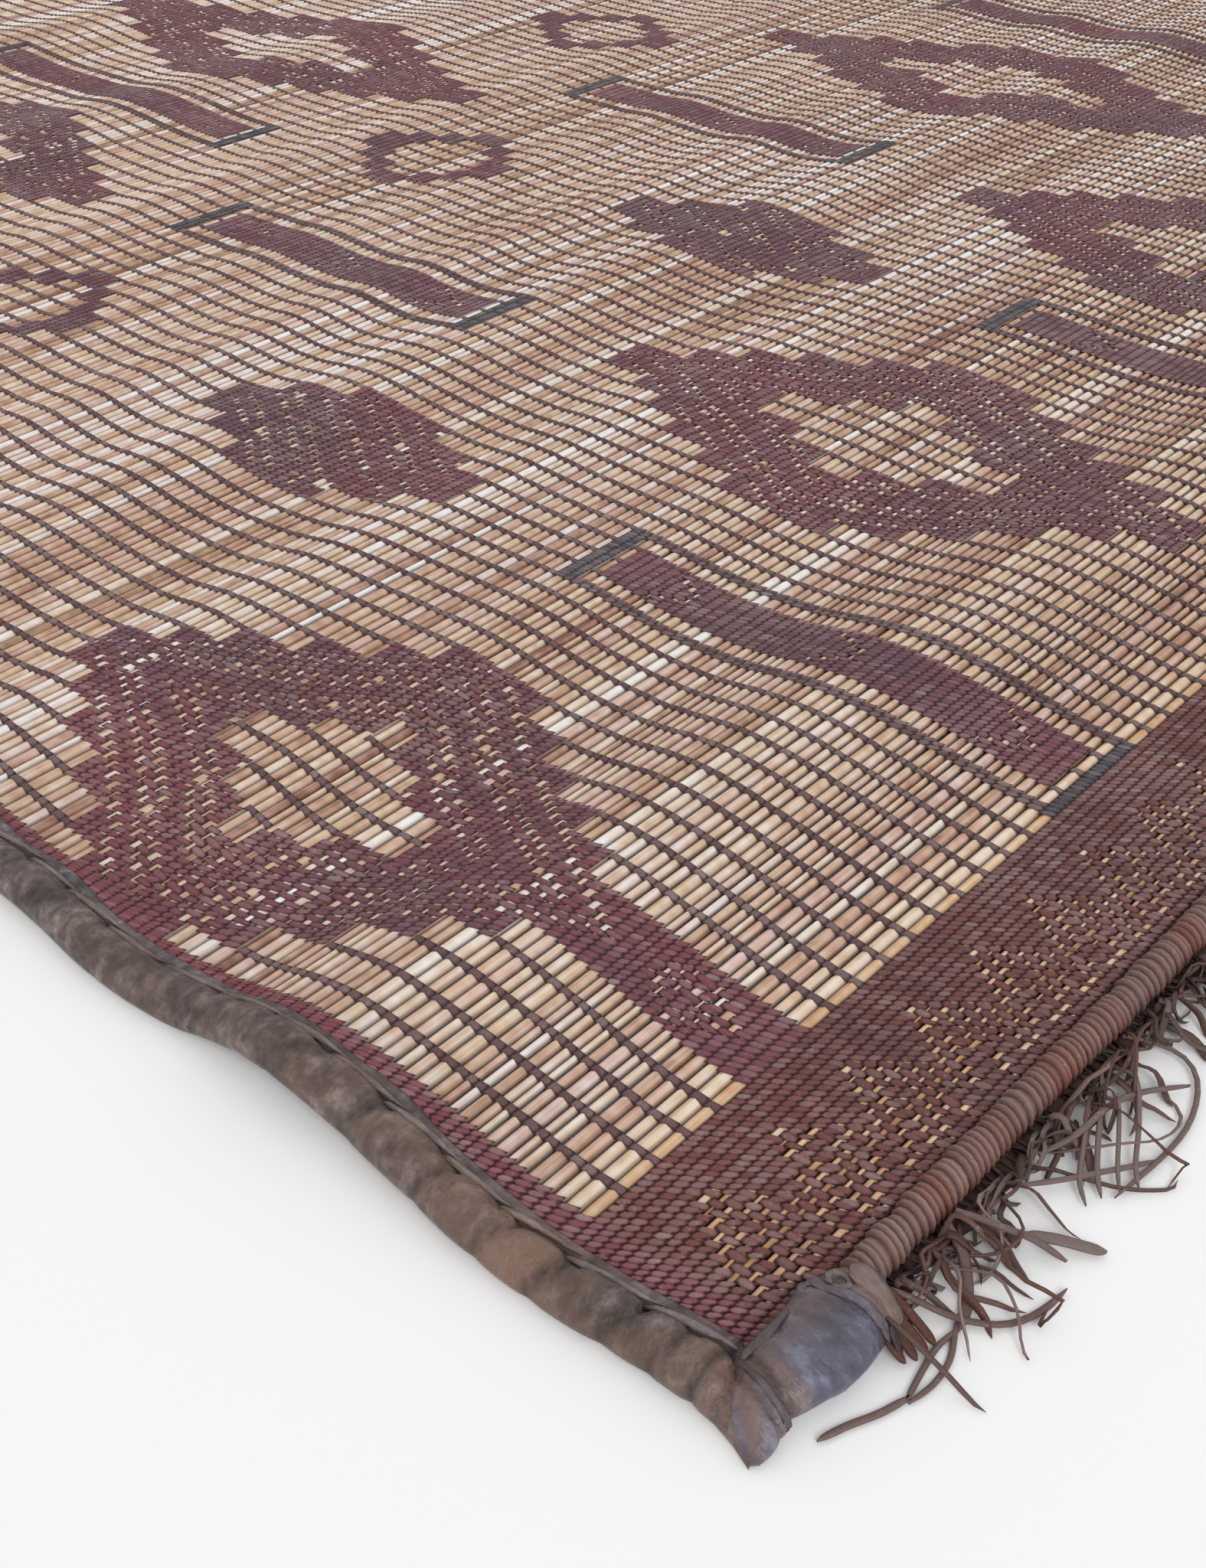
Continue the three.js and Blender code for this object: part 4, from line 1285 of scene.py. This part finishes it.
def make_loose(name):
    """Each path is resampled to even steps along its table's points, then smoothed four times."""
    stations = 18
    paths, widths = [], []
    for half_width, knots in LOOSE:
        knots = np.array(knots, dtype=float)
        at = np.concatenate([[0], np.cumsum(np.linalg.norm(np.diff(knots, axis=0), axis=1))])
        even = np.linspace(0, at[-1], stations)
        path = np.stack([np.interp(even, at, knots[:, k]) for k in range(3)], axis=-1)
        for _ in range(4):
            path[1:-1] = (path[:-2] + 2 * path[1:-1] + path[2:]) / 4
        paths.append(path)
        widths.append(half_width * tapered(stations, 0.6, 0.15, 10))
    points = swept(np.array(paths), np.array(widths), 0.75, ROUND_SIX)
    order = np.arange(len(LOOSE))[:, None, None]
    wrap = order < 4
    return strips(name, points, {
        "tone": np.where(wrap, 0.0, 0.12 + 0.012 * order), "dye": np.where(wrap, 1.0, 0.5 - 0.03 * order),
        "crest": np.where(wrap, 0.6, 0.85)})


finish_piece(make_loose("loose_thongs"), fringe_leather)

# %% [markdown]
# ## Underside
#
# Below, the same thongs pass under the reeds. Nothing of it shows in the photograph, so it is plain: a
# ribbon under each thong of the open work, and a patch under each run of close work.

# %% Underside
def make_under_ribbons(name):
    """Flat ribbons at every fifth column, two points wide, following the folds."""
    columns = np.arange(0, COLUMN_COUNT, CELL_COLUMNS)
    picks = np.linspace(0, row_count, 60).astype(int)
    y = np.broadcast_to(row_edges[picks][None, :, None], (len(columns), len(picks), 2))
    x = line_x[picks][:, columns].T[:, :, None] + np.array([-THONG_HALF_WIDTH, THONG_HALF_WIDTH])
    points = np.stack([narrowed(x, y), y, 0.3 + lift(x, y)], axis=-1)
    faces = repeated(grid_faces(len(picks), 2)[:, ::-1], len(columns), len(picks) * 2)
    return fill_mesh(name, points, faces, {"tone": 0.1, "dye": 0.4, "crest": 0.7})


def make_under_patches(name):
    """A quad under each run of closed cells in every second row, found where the chart changes along it."""
    rows = np.arange(0, row_count - 1, 2)
    closed = np.pad((chart[rows] != OPEN).astype(int), ((0, 0), (1, 1)))
    starts, ends = np.nonzero(np.diff(closed, axis=1) == 1), np.nonzero(np.diff(closed, axis=1) == -1)
    row, first, last = rows[starts[0]], starts[1], ends[1] - 1
    x = np.stack([line_x[row, first] - close_half, line_x[row, last] + close_half,
                  line_x[row + 2, last] + close_half, line_x[row + 2, first] - close_half], axis=-1)
    y = row_edges[row[:, None] + [0, 0, 2, 2]]
    points = np.stack([narrowed(x, y), y, 0.45 + lift(x, y)], axis=-1)
    faces = np.arange(4 * len(row)).reshape(-1, 4)[:, ::-1]
    return fill_mesh(name, points, faces, {"tone": 0.12, "dye": 0.5, "crest": 0.75})


for piece in (make_under_ribbons("thongs_below"), make_under_patches("twining_below")):
    finish_piece(piece, below_leather)

# %% [markdown]
# ## Floor, light and camera
#
# The floor and the surroundings are plain and pale. One broad light stands to the front left and high, so
# that beads and folds shade softly. The camera stands where the photograph's lines say it stood.

# %% Floor and light
def add_floor():
    """A square of plain pale paint, wide enough for every view."""
    mesh = bpy.data.meshes.new("floor")
    size = 14.0
    corners = [(-size, -size, 0), (size, -size, 0), (size, size, 0), (-size, size, 0)]
    mesh.from_pydata(corners, [], [(0, 1, 2, 3)])
    floor = bpy.data.objects.new("floor", mesh)
    bpy.context.scene.collection.objects.link(floor)
    material, _, shader, _ = new_material("floor_paint", 0.9, 0.1)
    shader.inputs["Base Color"].default_value = (0.97, 0.97, 0.97, 1)
    mesh.materials.append(material)


add_floor()
world = bpy.data.worlds.new("studio")
world.use_nodes = True
world.node_tree.nodes["Background"].inputs["Color"].default_value = (1.0, 1.0, 1.0, 1)
world.node_tree.nodes["Background"].inputs["Strength"].default_value = 0.72
bpy.context.scene.world = world
sun_data = bpy.data.lights.new("soft_key", "SUN")
sun_data.energy = 1.15
sun_data.angle = 0.45
sun = bpy.data.objects.new("soft_key", sun_data)
sun.rotation_euler = (np.radians(38), np.radians(-34), 0)
bpy.context.scene.collection.objects.link(sun)
bpy.context.scene.view_settings.view_transform = "Standard"

# %% Camera
CAMERA_HEIGHT = 0.455
CAMERA_FOOT = (-1.1579, -1.5287)
CAMERA_LENS = 43.33
LOOK_AZIMUTH = -48.5
LOOK_DOWN = 36.26


def add_camera():
    """The camera at its height over its foot, looking down along its azimuth."""
    data = bpy.data.cameras.new("camera")
    data.lens = CAMERA_LENS
    data.sensor_width = 36.0
    data.clip_start, data.clip_end = 0.02, 60.0
    camera = bpy.data.objects.new("camera", data)
    camera.location = (*CAMERA_FOOT, CAMERA_HEIGHT)
    camera.rotation_euler = (np.radians(90 - LOOK_DOWN), 0, np.radians(LOOK_AZIMUTH))
    bpy.context.scene.collection.objects.link(camera)
    bpy.context.scene.camera = camera


add_camera()
